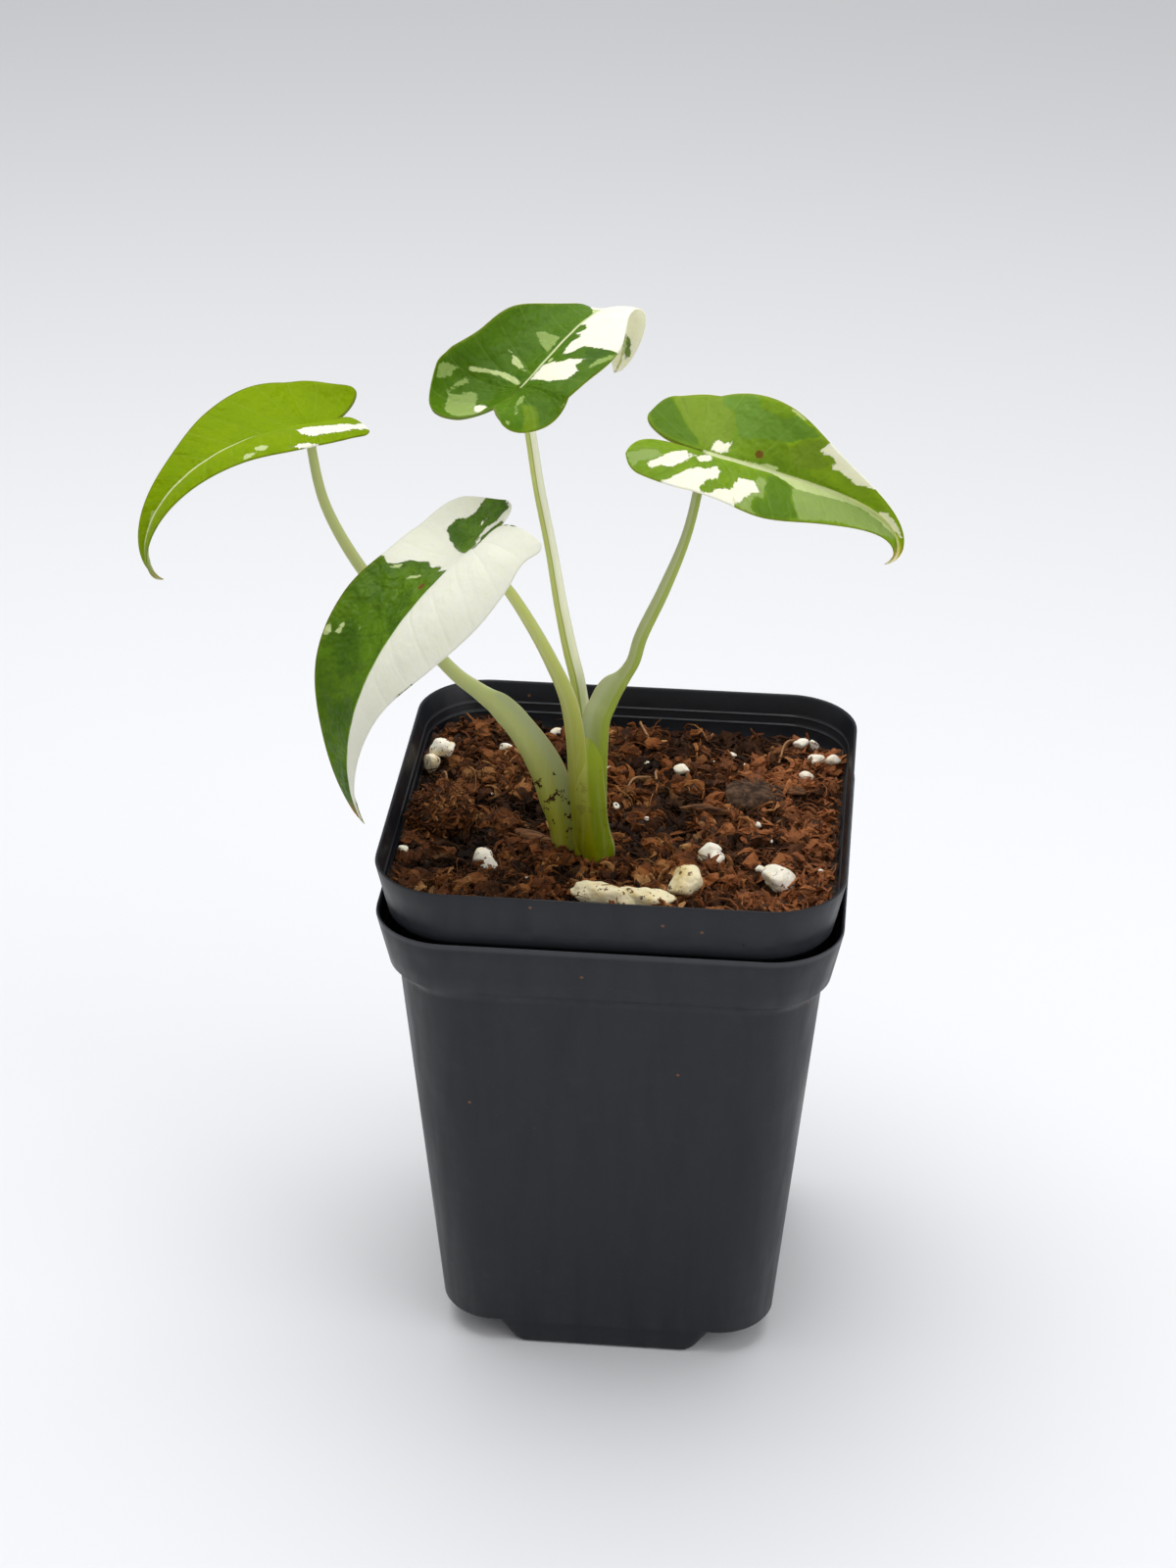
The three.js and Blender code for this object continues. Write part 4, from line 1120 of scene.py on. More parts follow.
# %% Leaf finish
def leaf_finish(name):
    looks = LEAF_LOOKS[name]
    leaf = Finish("leaf_" + name)
    place = leaf.attribute("leaf_place", "Vector")
    vein = leaf.attribute("vein_place")
    along_veins, fine, wobble = ragged_edges(leaf, place, vein)
    colour, creamy = lay_tones(leaf, looks, place, wobble)
    off_vein = leaf.math("ABSOLUTE", leaf.minus(leaf.math("FRACT", vein), 0.5))
    colour = leaf.blend(leaf.times(leaf.step(off_vein, 0.05, 0.0), looks["veins"]), colour, VEIN_TONE)
    rim = leaf.times(leaf.step(leaf.attribute("to_margin"), 0.4, 0.1), leaf.step(creamy, 1.0, 0.0, 0.1, 0.6))
    colour = leaf.blend(rim, colour, RIM_OLIVE)
    if "rust" in looks:
        spot_off = leaf.add("ShaderNodeVectorMath", {0: place, 1: looks["rust"]}, 1, operation="DISTANCE")
        spot = leaf.step(leaf.plus(spot_off, leaf.times(fine, 0.6)), 1.2, 0.95)
        colour = leaf.blend(leaf.times(spot, 0.85), colour, RUST_TONE)
    rib = leaf.step(leaf.attribute("from_midrib"), 0.16, -0.08)
    colour = leaf.blend(rib, colour, looks.get("rib", RIB_TONE))
    greenish = leaf.step(creamy, 1.0, 0.0, 0.15, 1.0)
    colour = leaf.blend(leaf.times(leaf.step(leaf.attribute("to_tip"), 6.5, 1.5), greenish), colour, TIP_TAN)
    speckle = leaf.step(leaf.noise(place, scale=6, detail=2), 0.45, 0.7)
    colour = leaf.blend(leaf.times(speckle, 0.08), colour, SPECKLE_TONE)
    pale_side = leaf.times(leaf.attribute("underside"), leaf.step(creamy, 0.0, 1.0, 0.5, 0.0))
    leaf.put(Base_Color=leaf.blend(pale_side, colour, UNDERSIDE))
    leaf.put(Roughness=leaf.step(fine, 0.3, 0.7, 0.4, 0.5), Specular_IOR_Level=looks["gloss"])
    leaf.put(Subsurface_Weight=looks["clear"], Subsurface_Scale=0.001, Subsurface_Radius=(1.0, 1.0, 0.6))
    relief = leaf.bump(leaf.step(off_vein, 0.0, 0.12), depth_mm=0.04)
    billow = leaf.bump(leaf.noise(along_veins, scale=0.35), looks["billow"], under=relief)
    puffs = leaf.times(leaf.noise(place, scale=0.3, detail=2), greenish)
    puffy = leaf.bump(puffs, looks["puff"], under=billow)
    leaf.put(Normal=leaf.bump(leaf.noise(place, scale=3.2, detail=4), depth_mm=0.03, under=puffy))
    leaf.report()
    return leaf.material


leaf_finishes = {name: leaf_finish(name) for name in LEAVES}

# %% Places on the blade
BLADE_ROWS = 96
LOBE_ROWS = 34
COLUMNS = 30
TIP_CROWDING = 1.35


def half_places(leaf, half):
    """Rows of places (s, x), from the end of the lobe to the tip, and the margin's x."""
    k = np.arange(LOBE_ROWS, 0, -1)
    lobe_s = -half["lobe"] * np.sin(k / LOBE_ROWS * np.pi / 2)
    blade_s = leaf["length"] * (1 - (1 - np.arange(BLADE_ROWS + 1) / BLADE_ROWS) ** TIP_CROWDING)
    s = np.r_[lobe_s, blade_s]
    outer = margin_width(leaf, half, s)
    inner = np.where(s < 0, sinus_width(leaf, half, s), 0)
    outer[0] = inner[0]
    outer[-1] = 0
    j = np.arange(COLUMNS + 1) / COLUMNS
    x = inner[:, None] + (outer - inner)[:, None] * j
    return np.repeat(s[:, None], COLUMNS + 1, 1), x, outer


print("places in one half:", (LOBE_ROWS + BLADE_ROWS + 1) * (COLUMNS + 1))

# %% Both faces of a half
BLADE_THICK = 0.45
RIM_THICK = 0.2
EDGE_WIDTH = 1.6
RIB_RADIUS = 0.95
RIB_TAPER = 0.78
GROOVE_DEPTH = 0.28
GROOVE_WIDTH = 0.7
VALLEY_WIDTH = 1.1
VEIN_RIDGE = 0.1
VEIN_WIDTH = 0.5


def half_sheet(leaf, half, narrower):
    """Points of both faces, each point's s and x, and how far in from the margin it lies."""
    s, x, outer = half_places(leaf, half)
    margin = np.repeat(outer, COLUMNS + 1)
    notch = np.repeat(x[:, 0], COLUMNS + 1)
    s, x = s.ravel(), x.ravel()
    points, normals = blade_points(leaf, half, s, x)
    edge = np.clip(np.where(x == 0, np.repeat(narrower, COLUMNS + 1), margin - x) / EDGE_WIDTH, 0, 1)
    vein = np.minimum(vein_distance(s, x), 2)
    rise = QUILT * (1 - np.exp(-(vein / VALLEY_WIDTH) ** 2)) * edge
    rib = RIB_RADIUS * (1 - RIB_TAPER * np.clip(s / leaf["length"], 0, 1))
    ridge = np.where(s > -1, np.sqrt(np.clip(rib ** 2 - x ** 2, 0, None)), 0) * np.clip(1 + s, 0, 1)
    groove = GROOVE_DEPTH * np.exp(-(x / GROOVE_WIDTH) ** 2) * (s > 0)
    thick = RIM_THICK + (BLADE_THICK - RIM_THICK) * edge + ridge
    thick = thick + VEIN_RIDGE * np.exp(-(vein / VEIN_WIDTH) ** 2) * edge
    from_edge = np.minimum(margin - x, np.where(s < 0, x - notch, FAR))
    inset = np.where(x == 0, np.minimum(FAR, leaf["length"] - s), from_edge)
    return points + normals * (rise - groove)[:, None], points - normals * thick[:, None], s, x, inset


print("a blade is", RIM_THICK, "mm thick at its margin and", BLADE_THICK, "mm inside it")


# %% Attributes and seams of a blade
def store_fields(blade, leaf, name, s, x, inset):
    """Keeps each point's place on the leaf and its distances, for the upper and the lower face."""
    fields = {"to_" + tone: field for tone, field in tone_distances(name, s, x).items()}
    rib = leaf.get("rib", 0.46) * (1 - 0.7 * np.clip(s / leaf["length"], 0, 1))
    fields.update(vein_place=vein_place(s, x) + 0.5, from_midrib=np.where(s >= 0, np.abs(x) - rib, 2),
                  to_tip=leaf["length"] - s, to_margin=inset, leaf_place=np.stack([s, x, 0 * s], -1))
    keep(blade.data, underside=np.repeat((0, 1), len(s)),
         **{title: np.concatenate([field] * 2) for title, field in fields.items()})


def weld(piece):
    """Joins points that lie on each other and counts the edges that are still open."""
    work = bmesh.new()
    work.from_mesh(piece.data)
    bmesh.ops.remove_doubles(work, verts=work.verts, dist=0.0005 * MM)
    open_edges = sum(1 for edge in work.edges if len(edge.link_faces) != 2)
    bmesh.ops.recalc_face_normals(work, faces=work.faces)
    work.to_mesh(piece.data)
    work.free()
    piece.data.polygons.foreach_set("use_smooth", [True] * len(piece.data.polygons))
    print(piece.name, "open edges:", open_edges)


print("distances kept on each blade:", len(TONES) + 4)


# %% Blades
def make_blade(name, leaf):
    sheets, faces, borders = [], [], []
    rows = LOBE_ROWS + BLADE_ROWS + 1
    narrower = np.minimum(*(half_places(leaf, half)[2] for half in leaf["halves"]))
    for half in leaf["halves"]:
        start = sum(len(sheet[0]) for sheet in sheets)
        upper, lower, s, x, inset = half_sheet(leaf, half, narrower)
        sheets.append((upper, lower, s, x * half["side"], inset))
        quads = grid_faces(rows, COLUMNS + 1, start)
        outer_line = [start + i * (COLUMNS + 1) + COLUMNS for i in range(rows)]
        inner_line = [start + i * (COLUMNS + 1) for i in range(LOBE_ROWS + 1)]
        turn_round = half["side"] > 0
        faces += [quad[::-1] for quad in quads] if turn_round else quads
        borders += [outer_line[::-1], inner_line] if turn_round else [outer_line, inner_line[::-1]]
    upper, lower, s, x, inset = (np.concatenate(block) for block in zip(*sheets))
    count = len(upper)
    faces += [tuple(count + k for k in quad[::-1]) for quad in faces]
    for line in borders:
        faces += [(a, b, b + count, a + count) for a, b in zip(line, line[1:])]
    points = np.concatenate([upper, lower])
    blade = make_mesh("blade_" + name + "_fine", points, faces, leaf_finishes[name])
    store_fields(blade, leaf, name, s, x, inset)
    weld(blade)
    return blade


for leaf_name, leaf in LEAVES.items():
    settle(make_blade(leaf_name, leaf), "blade_" + leaf_name, slot="leaf_blade")

# %% [markdown]
# The stalks, or petioles, are oval above and carry a thin wing near the foot, the sheath that
# once wrapped the next leaf. Such a shape follows a path, so a geometry tree makes it: it lays a
# circle along the path and moves each point out by the sizes that the path has there, drawn out
# to a thin edge where the sheath is. Further down the front and right stalks are wrapped
# together, so a bundle closes round them. Each point stores how far round the stalk it lies and
# how much it belongs to the sheath, because the stripes, the sheath's colour and a painted
# highlight down both sides of the stalk follow these.

# %% Stalk rows
# Middle x, y, z, half width, half depth, and the reach of the sheath
STALK_ROWS = {
    "left": [(-9, -14.8, 92.4, 1.3, 1.3, 0), (-10.4, -14.7, 104, 2, 1.5, 2),
             (-11.6, -14.6, 111.2, 2, 1.5, 2.4), (-13.1, -14.5, 115.7, 2.1, 1.5, 2.8),
             (-14.1, -14.4, 119.6, 2.2, 1.5, 2.8), (-15.8, -14.2, 123.9, 2.2, 1.5, 2.6),
             (-17.8, -14, 127.6, 2.1, 1.5, 2.2), (-19.9, -13.8, 130.7, 2, 1.4, 1.9),
             (-21.7, -13.6, 133, 2.1, 1.4, 1.6), (-23.6, -13.4, 135.2, 2, 1.4, 1.1),
             (-25.4, -13.2, 136.6, 1.85, 1.4, 0.3), (-27.5, -12.8, 138, 1.65, 1.3, 0),
             (-31.5, -12, 140.6, 1.4, 1.3, 0), (-42.9, -10.9, 153.2, 1.2, 1.2, 0),
             (-50.1, -10, 161.8, 1.15, 1.1, 0), (-56.4, -8.9, 173.5, 1, 1, 0),
             (-58.7, -8.2, 184, 0.9, 0.9, 0)],
    "front": [(-5.6, -16.4, 92.4, 1.3, 1.3, 0), (-6.4, -16.6, 104, 1.6, 1.4, 0),
              (-7.4, -17.8, 121.2, 1.8, 1.4, 0), (-8, -19.7, 133.7, 1.8, 1.3, 0),
              (-9.3, -21.3, 141.8, 1.6, 1.3, 0), (-12.1, -23.2, 149.9, 1.35, 1.2, 0),
              (-15.4, -25.2, 157.8, 1.2, 1.1, 0), (-19.6, -27.5, 166.2, 1.05, 1, 0),
              (-23.4, -29.6, 172, 0.95, 0.9, 0)],
    "top": [(-6.4, -11.9, 92.4, 1.2, 1.2, 0), (-6, -12.4, 104, 1.5, 1.3, 0),
            (-6.5, -12, 126.5, 1.5, 1.2, 0), (-8.1, -11.2, 139.2, 1.45, 1.2, 0),
            (-9.7, -11.5, 146.6, 1.4, 1.2, 0), (-11.4, -12, 155.8, 1.3, 1.2, 0),
            (-13.3, -12, 167.5, 1.15, 1.1, 0), (-15.7, -12, 180.3, 1.1, 1.1, 0),
            (-17.4, -12, 192, 1.05, 1, 0)],
    "right": [(-2.6, -15, 92.4, 1.2, 1.2, 0), (-3, -15.6, 104, 1.4, 1.3, 0),
              (-3.4, -16.2, 118, 1.4, 1.3, 0), (-3.3, -16.8, 130, 1.5, 1.3, 2.4),
              (-2.9, -16.5, 135, 1.5, 1.3, 2.4), (-1.9, -15.8, 137.6, 1.5, 1.3, 2.3),
              (-0.8, -15.5, 140.1, 1.4, 1.3, 2.3), (0.2, -15.3, 142, 1.35, 1.3, 1.8),
              (1.1, -15.1, 143.7, 1.3, 1.25, 0.5), (2.6, -14.9, 146.7, 1.3, 1.2, 0),
              (3.9, -14.5, 151.6, 1.3, 1.2, 0), (8, -14.3, 161.4, 1.2, 1.15, 0),
              (12.1, -14.2, 173, 0.95, 0.95, 0), (14.2, -14.1, 183.6, 0.9, 0.9, 0)],
}
BUNDLE_ROWS = [(-5.6, -17.2, 100, 1.6, 1.6, 0), (-4.2, -17.6, 103, 2.1, 2.1, 0),
               (-3.4, -17.6, 105.2, 3, 2.6, 0), (-3.6, -17.5, 107.2, 3.45, 2.7, 0),
               (-4.2, -17.5, 109.1, 3.5, 2.6, 0), (-4.9, -17.4, 112.9, 3.35, 2.4, 0),
               (-5.3, -17.4, 117, 3.35, 2.3, 0), (-5.7, -17.4, 120.4, 3.4, 2.2, 0),
               (-6, -17.5, 124.4, 3.4, 2.1, 0), (-6, -17.3, 127.6, 3.4, 1.6, 0),
               (-5.9, -16.9, 130, 3.1, 1.1, 0), (-5.7, -16.4, 132, 2.4, 0.7, 0),
               (-5.5, -16, 133.6, 1.5, 0.5, 0), (-5.4, -15.8, 134.6, 0.8, 0.3, 0)]
WING_SIDE = {"left": 1, "right": -1}
print("rows:", {name: len(rows) for name, rows in STALK_ROWS.items()})

# %% Stalk looks
# Colours at the foot and at the top of the left part and the right part, and where they meet
STALK_COLOURS = {
    "left": (tint(154, 154, 42), tint(186, 193, 128), tint(156, 158, 46), tint(188, 196, 128), 0.0),
    "front": (tint(140, 142, 20), tint(208, 212, 140), tint(134, 138, 20), tint(188, 196, 110), 0.1),
    "top": (tint(172, 184, 70), tint(218, 224, 134), tint(224, 230, 176), tint(244, 246, 216), 0.05),
    "right": (tint(122, 140, 0), tint(184, 192, 138), tint(122, 140, 0), tint(158, 173, 86), 0.0),
    "bundle": (tint(124, 126, 0), tint(174, 178, 84), tint(104, 118, 0), tint(138, 155, 34), 0.12),
}
# Heights in millimetres between which the colour goes from the foot's to the top's
STALK_FADE = {"left": (108, 140), "front": (108, 168), "top": (108, 168), "right": (108, 168),
              "bundle": (108, 133)}
# How much a green line down the stalk shows
LINE_SHOWS = {"top": 0.5, "front": 0.2}
LINE_GREEN = tint(104, 132, 20)
SHEATH_TONE = tint(178, 186, 138)
# Pale colour of the fine streaks, and of the painted highlight down both sides of the stalk
STREAK_AND_HIGHLIGHT_TONE = tint(196, 200, 160)
DIRT_TONE = tint(66, 40, 18)
print("stalk looks:", ", ".join(STALK_COLOURS))


# %% Stalk finish
def with_dirt(stalk, colour, height, everywhere):
    """Crumbs of soil, in a low band on the sheath or thinly everywhere."""
    dirt = stalk.noise(stalk.stretched(stalk.place, (400, 400, 330)), scale=1, detail=4, roughness=0.7)
    low = stalk.times(stalk.step(height, 0.1235, 0.1215), stalk.step(height, 0.1065, 0.109))
    share = stalk.times(stalk.step(dirt, 0.585, 0.61), 0.25 if everywhere else low)
    return stalk.blend(share, colour, DIRT_TONE)


def stalk_finish(name):
    left_foot, left_top, right_foot, right_top, border = STALK_COLOURS[name]
    foot, top = STALK_FADE[name]
    stalk = Finish("stalk_" + name)
    height = stalk.axis(stalk.place, 2)
    round_it = stalk.attribute("round_stalk")
    wander = stalk.times(stalk.minus(stalk.noise(stalk.place, scale=60, detail=2), 0.5), 0.3)
    wavy = stalk.plus(round_it, wander)
    rise = stalk.step(height, foot * MM, top * MM)
    left = stalk.blend(rise, left_foot, left_top)
    right = stalk.blend(rise, right_foot, right_top)
    colour = stalk.blend(stalk.step(wavy, border - 0.14, border + 0.14), left, right)
    if name in LINE_SHOWS:
        off_line = stalk.math("ABSOLUTE", stalk.plus(wavy, 0.12 - border))
        line = stalk.times(stalk.step(off_line, 0.16, 0.04), LINE_SHOWS[name])
        colour = stalk.blend(line, colour, LINE_GREEN)
    streak = stalk.noise(stalk.stretched(stalk.place, (900, 900, 60)), scale=1)
    colour = stalk.blend(stalk.times(stalk.step(streak, 0.45, 0.7), 0.1), colour, STREAK_AND_HIGHLIGHT_TONE)
    # Painted highlight: a pale line down both sides of the stalk, weaker on the bundle
    edge = stalk.step(stalk.math("ABSOLUTE", round_it), 0.93, 0.995)
    colour = stalk.blend(stalk.times(edge, 0.25 if name == "bundle" else 0.6), colour, STREAK_AND_HIGHLIGHT_TONE)
    papery = stalk.times(stalk.step(stalk.attribute("in_sheath"), 0.1, 0.6),
                         stalk.step(height, 0.11, 0.134, 0.3, 0.9))
    colour = stalk.blend(papery, colour, SHEATH_TONE)
    if name in ("left", "bundle"):
        colour = with_dirt(stalk, colour, height, everywhere=name == "bundle")
    stalk.put(Base_Color=colour, Roughness=0.4, Subsurface_Weight=0.2, Subsurface_Scale=0.001)
    stalk.put(Specular_IOR_Level=0.14, Normal=stalk.bump(streak, depth_mm=0.05))
    stalk.report()
    return stalk.material


stalk_finishes = {name: stalk_finish(name) for name in STALK_COLOURS}


# %% A path through rows
def spline(rows, count):
    """A centripetal Catmull-Rom curve through the rows, as the plain model's curve is."""
    rows = np.asarray(rows, float)
    padded = np.vstack([2 * rows[0] - rows[1], rows, 2 * rows[-1] - rows[-2]])
    places = []
    for u in np.linspace(0, 1, count):
        x = u * (len(rows) - 1)
        i = min(int(x), len(rows) - 2)
        p0, p1, p2, p3 = padded[i:i + 4]
        gaps = np.linalg.norm(np.diff(padded[i:i + 4, :3], axis=0), axis=1)
        k0, k1, k2 = np.maximum(gaps ** 0.5, 1e-4)
        m1 = ((p1 - p0) / k0 - (p2 - p0) / (k0 + k1) + (p2 - p1) / k1) * k1
        m2 = ((p2 - p1) / k1 - (p3 - p1) / (k1 + k2) + (p3 - p2) / k2) * k1
        t = x - i
        places.append((2 * t ** 3 - 3 * t ** 2 + 1) * p1 + (t ** 3 - 2 * t ** 2 + t) * m1
                      + (-2 * t ** 3 + 3 * t ** 2) * p2 + (t ** 3 - t ** 2) * m2)
    return np.array(places)


def path_mesh(rows, rings):
    """The path as points joined by edges, with the directions and sizes stored on the points."""
    line = spline(rows, rings)
    middles = line[:, :3]
    along = np.gradient(middles, axis=0)
    side = np.cross((0, 1, 0), along)
    side /= np.linalg.norm(side, axis=1)[:, None]
    front = np.cross(along / np.linalg.norm(along, axis=1)[:, None], side)
    path = bpy.data.meshes.new("path")
    path.from_pydata((middles * MM).tolist(), [(k, k + 1) for k in range(rings - 1)], [])
    half_width, half_depth, sheath = np.maximum(line[:, 3:].T, 0) * MM
    keep(path, middle=middles * MM, side=side, front=front, half_width=half_width,
         half_depth=half_depth, sheath=sheath)
    return path


length_of_left = np.linalg.norm(np.diff(spline(STALK_ROWS["left"], 50)[:, :3], axis=0), axis=1).sum()
print("the left stalk is", round(float(length_of_left)), "mm long")


# %% Stalk tree
def stalk_tree(name, material):
    """A skin along the path, drawn out to a thin edge on the side of the sheath."""
    growth = Growth(name, Sides="Int", Wing_side="Float", Wing_droop="Float", Wing_root="Float")
    given = growth.given
    add = growth.add
    times = growth.times
    power = growth.power
    circle = add("GeometryNodeCurvePrimitiveCircle", {"Resolution": given["Sides"], "Radius": 1.0})
    marked = growth.store(circle, "on_circle", add("GeometryNodeInputPosition"), "FLOAT_VECTOR")
    path = add("GeometryNodeMeshToCurve", {"Mesh": given["Geometry"]})
    skin = add("GeometryNodeCurveToMesh", {"Curve": path, "Profile Curve": marked, "Fill Caps": True})
    on_circle = growth.stored("on_circle", "FLOAT_VECTOR")
    sideways, forward = growth.axis(on_circle, 0), growth.axis(on_circle, 1)
    reach = growth.stored("sheath")
    outward = growth.math("MAXIMUM", times(given["Wing side"], sideways), 0.0)
    share = growth.math("DIVIDE", reach, growth.plus(reach, given["Wing root"]))
    thinner = times(times(share, 0.9), power(outward, 1.5))
    wing = times(times(given["Wing side"], reach), power(outward, 2.0))
    wide_by = growth.plus(times(growth.stored("half_width"), sideways), wing)
    full = times(times(growth.stored("half_depth"), forward), growth.minus(1.0, thinner))
    droop = times(times(given["Wing droop"], reach), power(outward, 3.0))
    place = growth.stored("middle", "FLOAT_VECTOR")
    for direction, distance in (("side", wide_by), ("front", growth.minus(full, droop))):
        step = add("ShaderNodeVectorMath", {0: growth.stored(direction, "FLOAT_VECTOR"), 3: distance},
                   operation="SCALE")
        place = add("ShaderNodeVectorMath", {0: place, 1: step}, operation="ADD")
    in_sheath = times(power(outward, 2.0), growth.math("MINIMUM", times(reach, 1 / MM), 1.0))
    skin = growth.store(skin, "round_stalk", sideways)
    skin = growth.store(skin, "in_sheath", in_sheath)
    growth.end(add("GeometryNodeSetPosition", {"Geometry": skin, "Position": place}), material)
    return growth


print("the widest sheath reaches", max(row[5] for rows in STALK_ROWS.values() for row in rows), "mm out")

# %% Making a stalk
STALK_RINGS = 110
STALK_SIDES = 32
WING_DROOP = 0.22
WING_ROOT = 0.8


def make_stalk(name, rows, wing_side, material, rings=STALK_RINGS, sides=STALK_SIDES):
    stalk = grow(name, path_mesh(rows, rings), stalk_tree(name, material), Sides=sides,
                 Wing_side=float(wing_side), Wing_droop=WING_DROOP, Wing_root=WING_ROOT * MM)
    weld(stalk)
    return stalk


print("a stalk has", STALK_RINGS, "rings of", STALK_SIDES, "points")

# %% Stalks and bundle
UNDER_BLADE = 0.5
for leaf_name, leaf in LEAVES.items():
    rows = STALK_ROWS[leaf_name]
    end = np.array(leaf["junction"]) - blade_axes(leaf, np.array([0.0]))[2][0] * UNDER_BLADE
    rows = rows + [(*end, *rows[-1][3:])]
    stalk = make_stalk("stalk_" + leaf_name, rows, WING_SIDE.get(leaf_name, 1), stalk_finishes[leaf_name])
    settle(stalk, "petiole_" + leaf_name, slot="petiole_skin")
settle(make_stalk("stalk_bundle", BUNDLE_ROWS, 1, stalk_finishes["bundle"]), slot="petiole_skin")

# %% [markdown]
# A few dead roots, thin as thread, lie bent on the mix. Each one follows a short path, so the
# tree that makes the stalks makes them too, with few sides and no sheath.

# %% Dead roots
ROOT_THICK = 0.5
ROOT_RINGS = 14
ROOT_SIDES = 7
# Places on the mix that each root passes, and how high its middle is lifted
ROOTS = [([(-38.7, 13.2), (-36.6, 9.6), (-35.8, 6.5)], 1.6), ([(-0.6, 10.7), (0.8, 15.4), (4.4, 18.8)], 1.4),
         ([(5.3, 15.9), (5, 18.2), (6.5, 20.3)], 1), ([(0, 44.3), (0.4, 38), (3, 32.3)], 1.6),
         ([(29.3, 28.7), (30.6, 34.6), (34.4, 39.6)], 1.8)]
thread = Finish("dead_root")
root_tone = thread.noise(thread.place, scale=500)
thread.put(Base_Color=thread.blend(root_tone, tint(96, 62, 34), tint(176, 132, 84)), Roughness=0.7)
for number, (places, lift) in enumerate(ROOTS, 1):
    heights = [0.4, 1 + lift, 0.6]
    rows = [(x, y, mix_height(x, y) + h, ROOT_THICK / 2, ROOT_THICK / 2, 0)
            for (x, y), h in zip(places, heights)]
    strand = make_stalk(f"root_{number}", rows, 1, thread.material, rings=ROOT_RINGS, sides=ROOT_SIDES)
    settle(strand, slot="coir_mix")

# %% [markdown]
# The stones are pumice and perlite, cream to white, with pits and brown specks. Broken pumice
# has flat facets and soft corners, so a ball with many faces is pressed against many planes,
# then pushed in and out by noise and pitted by a cell pattern. Some stones have more lobes. A
# scanned stone would look as good, but these need no file and can be sized by their numbers.

# %% Stone finish
PUMICE_SPECK = tint(96, 62, 36)


def stone_finish(name, body, shade):
    pumice = Finish(name)
    spots = pumice.noise(pumice.place, scale=760, roughness=0.6)
    clouds = pumice.noise(pumice.place, scale=260, detail=4)
    colour = pumice.blend(pumice.step(clouds, 0.48, 0.75), body, shade)
    colour = pumice.blend(pumice.times(pumice.step(spots, 0.6, 0.64), 0.9), colour, PUMICE_SPECK)
    pumice.put(Base_Color=colour, Roughness=0.85, Subsurface_Weight=0.08, Subsurface_Scale=0.001)
    pits = pumice.noise(pumice.place, scale=1500, detail=4)
    pumice.put(Specular_IOR_Level=0.2, Normal=pumice.bump(pits, depth_mm=0.12))
    pumice.report()
    return pumice.material


white_pumice = stone_finish("pumice_white", tint(242, 236, 220), tint(226, 208, 164))
cream_pumice = stone_finish("pumice_cream", tint(238, 226, 188), tint(222, 196, 130))
peat = Finish("peat_lump")
crumble = peat.noise(peat.place, scale=700, detail=5, roughness=0.7)
peat.put(Base_Color=peat.blend(peat.step(crumble, 0.35, 0.7), tint(44, 30, 22), tint(100, 76, 58)))
peat.put(Roughness=0.8, Specular_IOR_Level=0.12, Normal=peat.bump(crumble, depth_mm=0.5))
peat.report()

# %% A pebble
FACETS = 16
FACET_SHARP = 12
STONE_DETAIL = 5
CLUMP_DETAIL = 4
GRAIN_DETAIL = 3


def pebble(at, size, turn, seed, detail):
    """Points and faces of one lobe: a ball pressed to facets, roughened and pitted."""
    pick = np.random.default_rng(seed)
    facets = pick.normal(size=(FACETS, 3))
    facets /= np.linalg.norm(facets, axis=1)[:, None]
    reach = pick.uniform(0.74, 1, FACETS)
    points, faces = ball(detail)
    pressed = ((np.maximum(points @ facets.T, 0) / reach) ** FACET_SHARP).sum(1) + 0.9 ** FACET_SHARP
    points = points * pressed[:, None] ** (-1 / FACET_SHARP) * size / 2
    rough = []
    for p in points:
        spot = Vector(p) + Vector((9 * seed, 0, 0))
        pit = max(0.0, 1 - noise.voronoi(spot * 0.8)[0][0] / 0.3)
        rough.append(1 + 0.12 * noise.noise(spot * 0.5) + 0.03 * noise.noise(spot * 1.6) - 0.06 * pit)
    points = points * np.array(rough)[:, None]
    c = math.cos(math.radians(turn))
    s = math.sin(math.radians(turn))
    return points @ np.array([(c, s, 0), (-s, c, 0), (0, 0, 1)]) + at, faces


def make_pebbles(name, lobes, detail, material, first_seed):
    points, faces = [], []
    for k, (at, size, turn) in enumerate(lobes):
        lobe_points, lobe_faces = pebble(np.array(at), np.array(size, float), turn, first_seed + k, detail)
        faces += [[index + len(points) for index in face] for face in lobe_faces]
        points += lobe_points.tolist()
    return make_mesh(name, points, faces, material)


print("faces of a lobe:", len(ball(STONE_DETAIL)[1]))

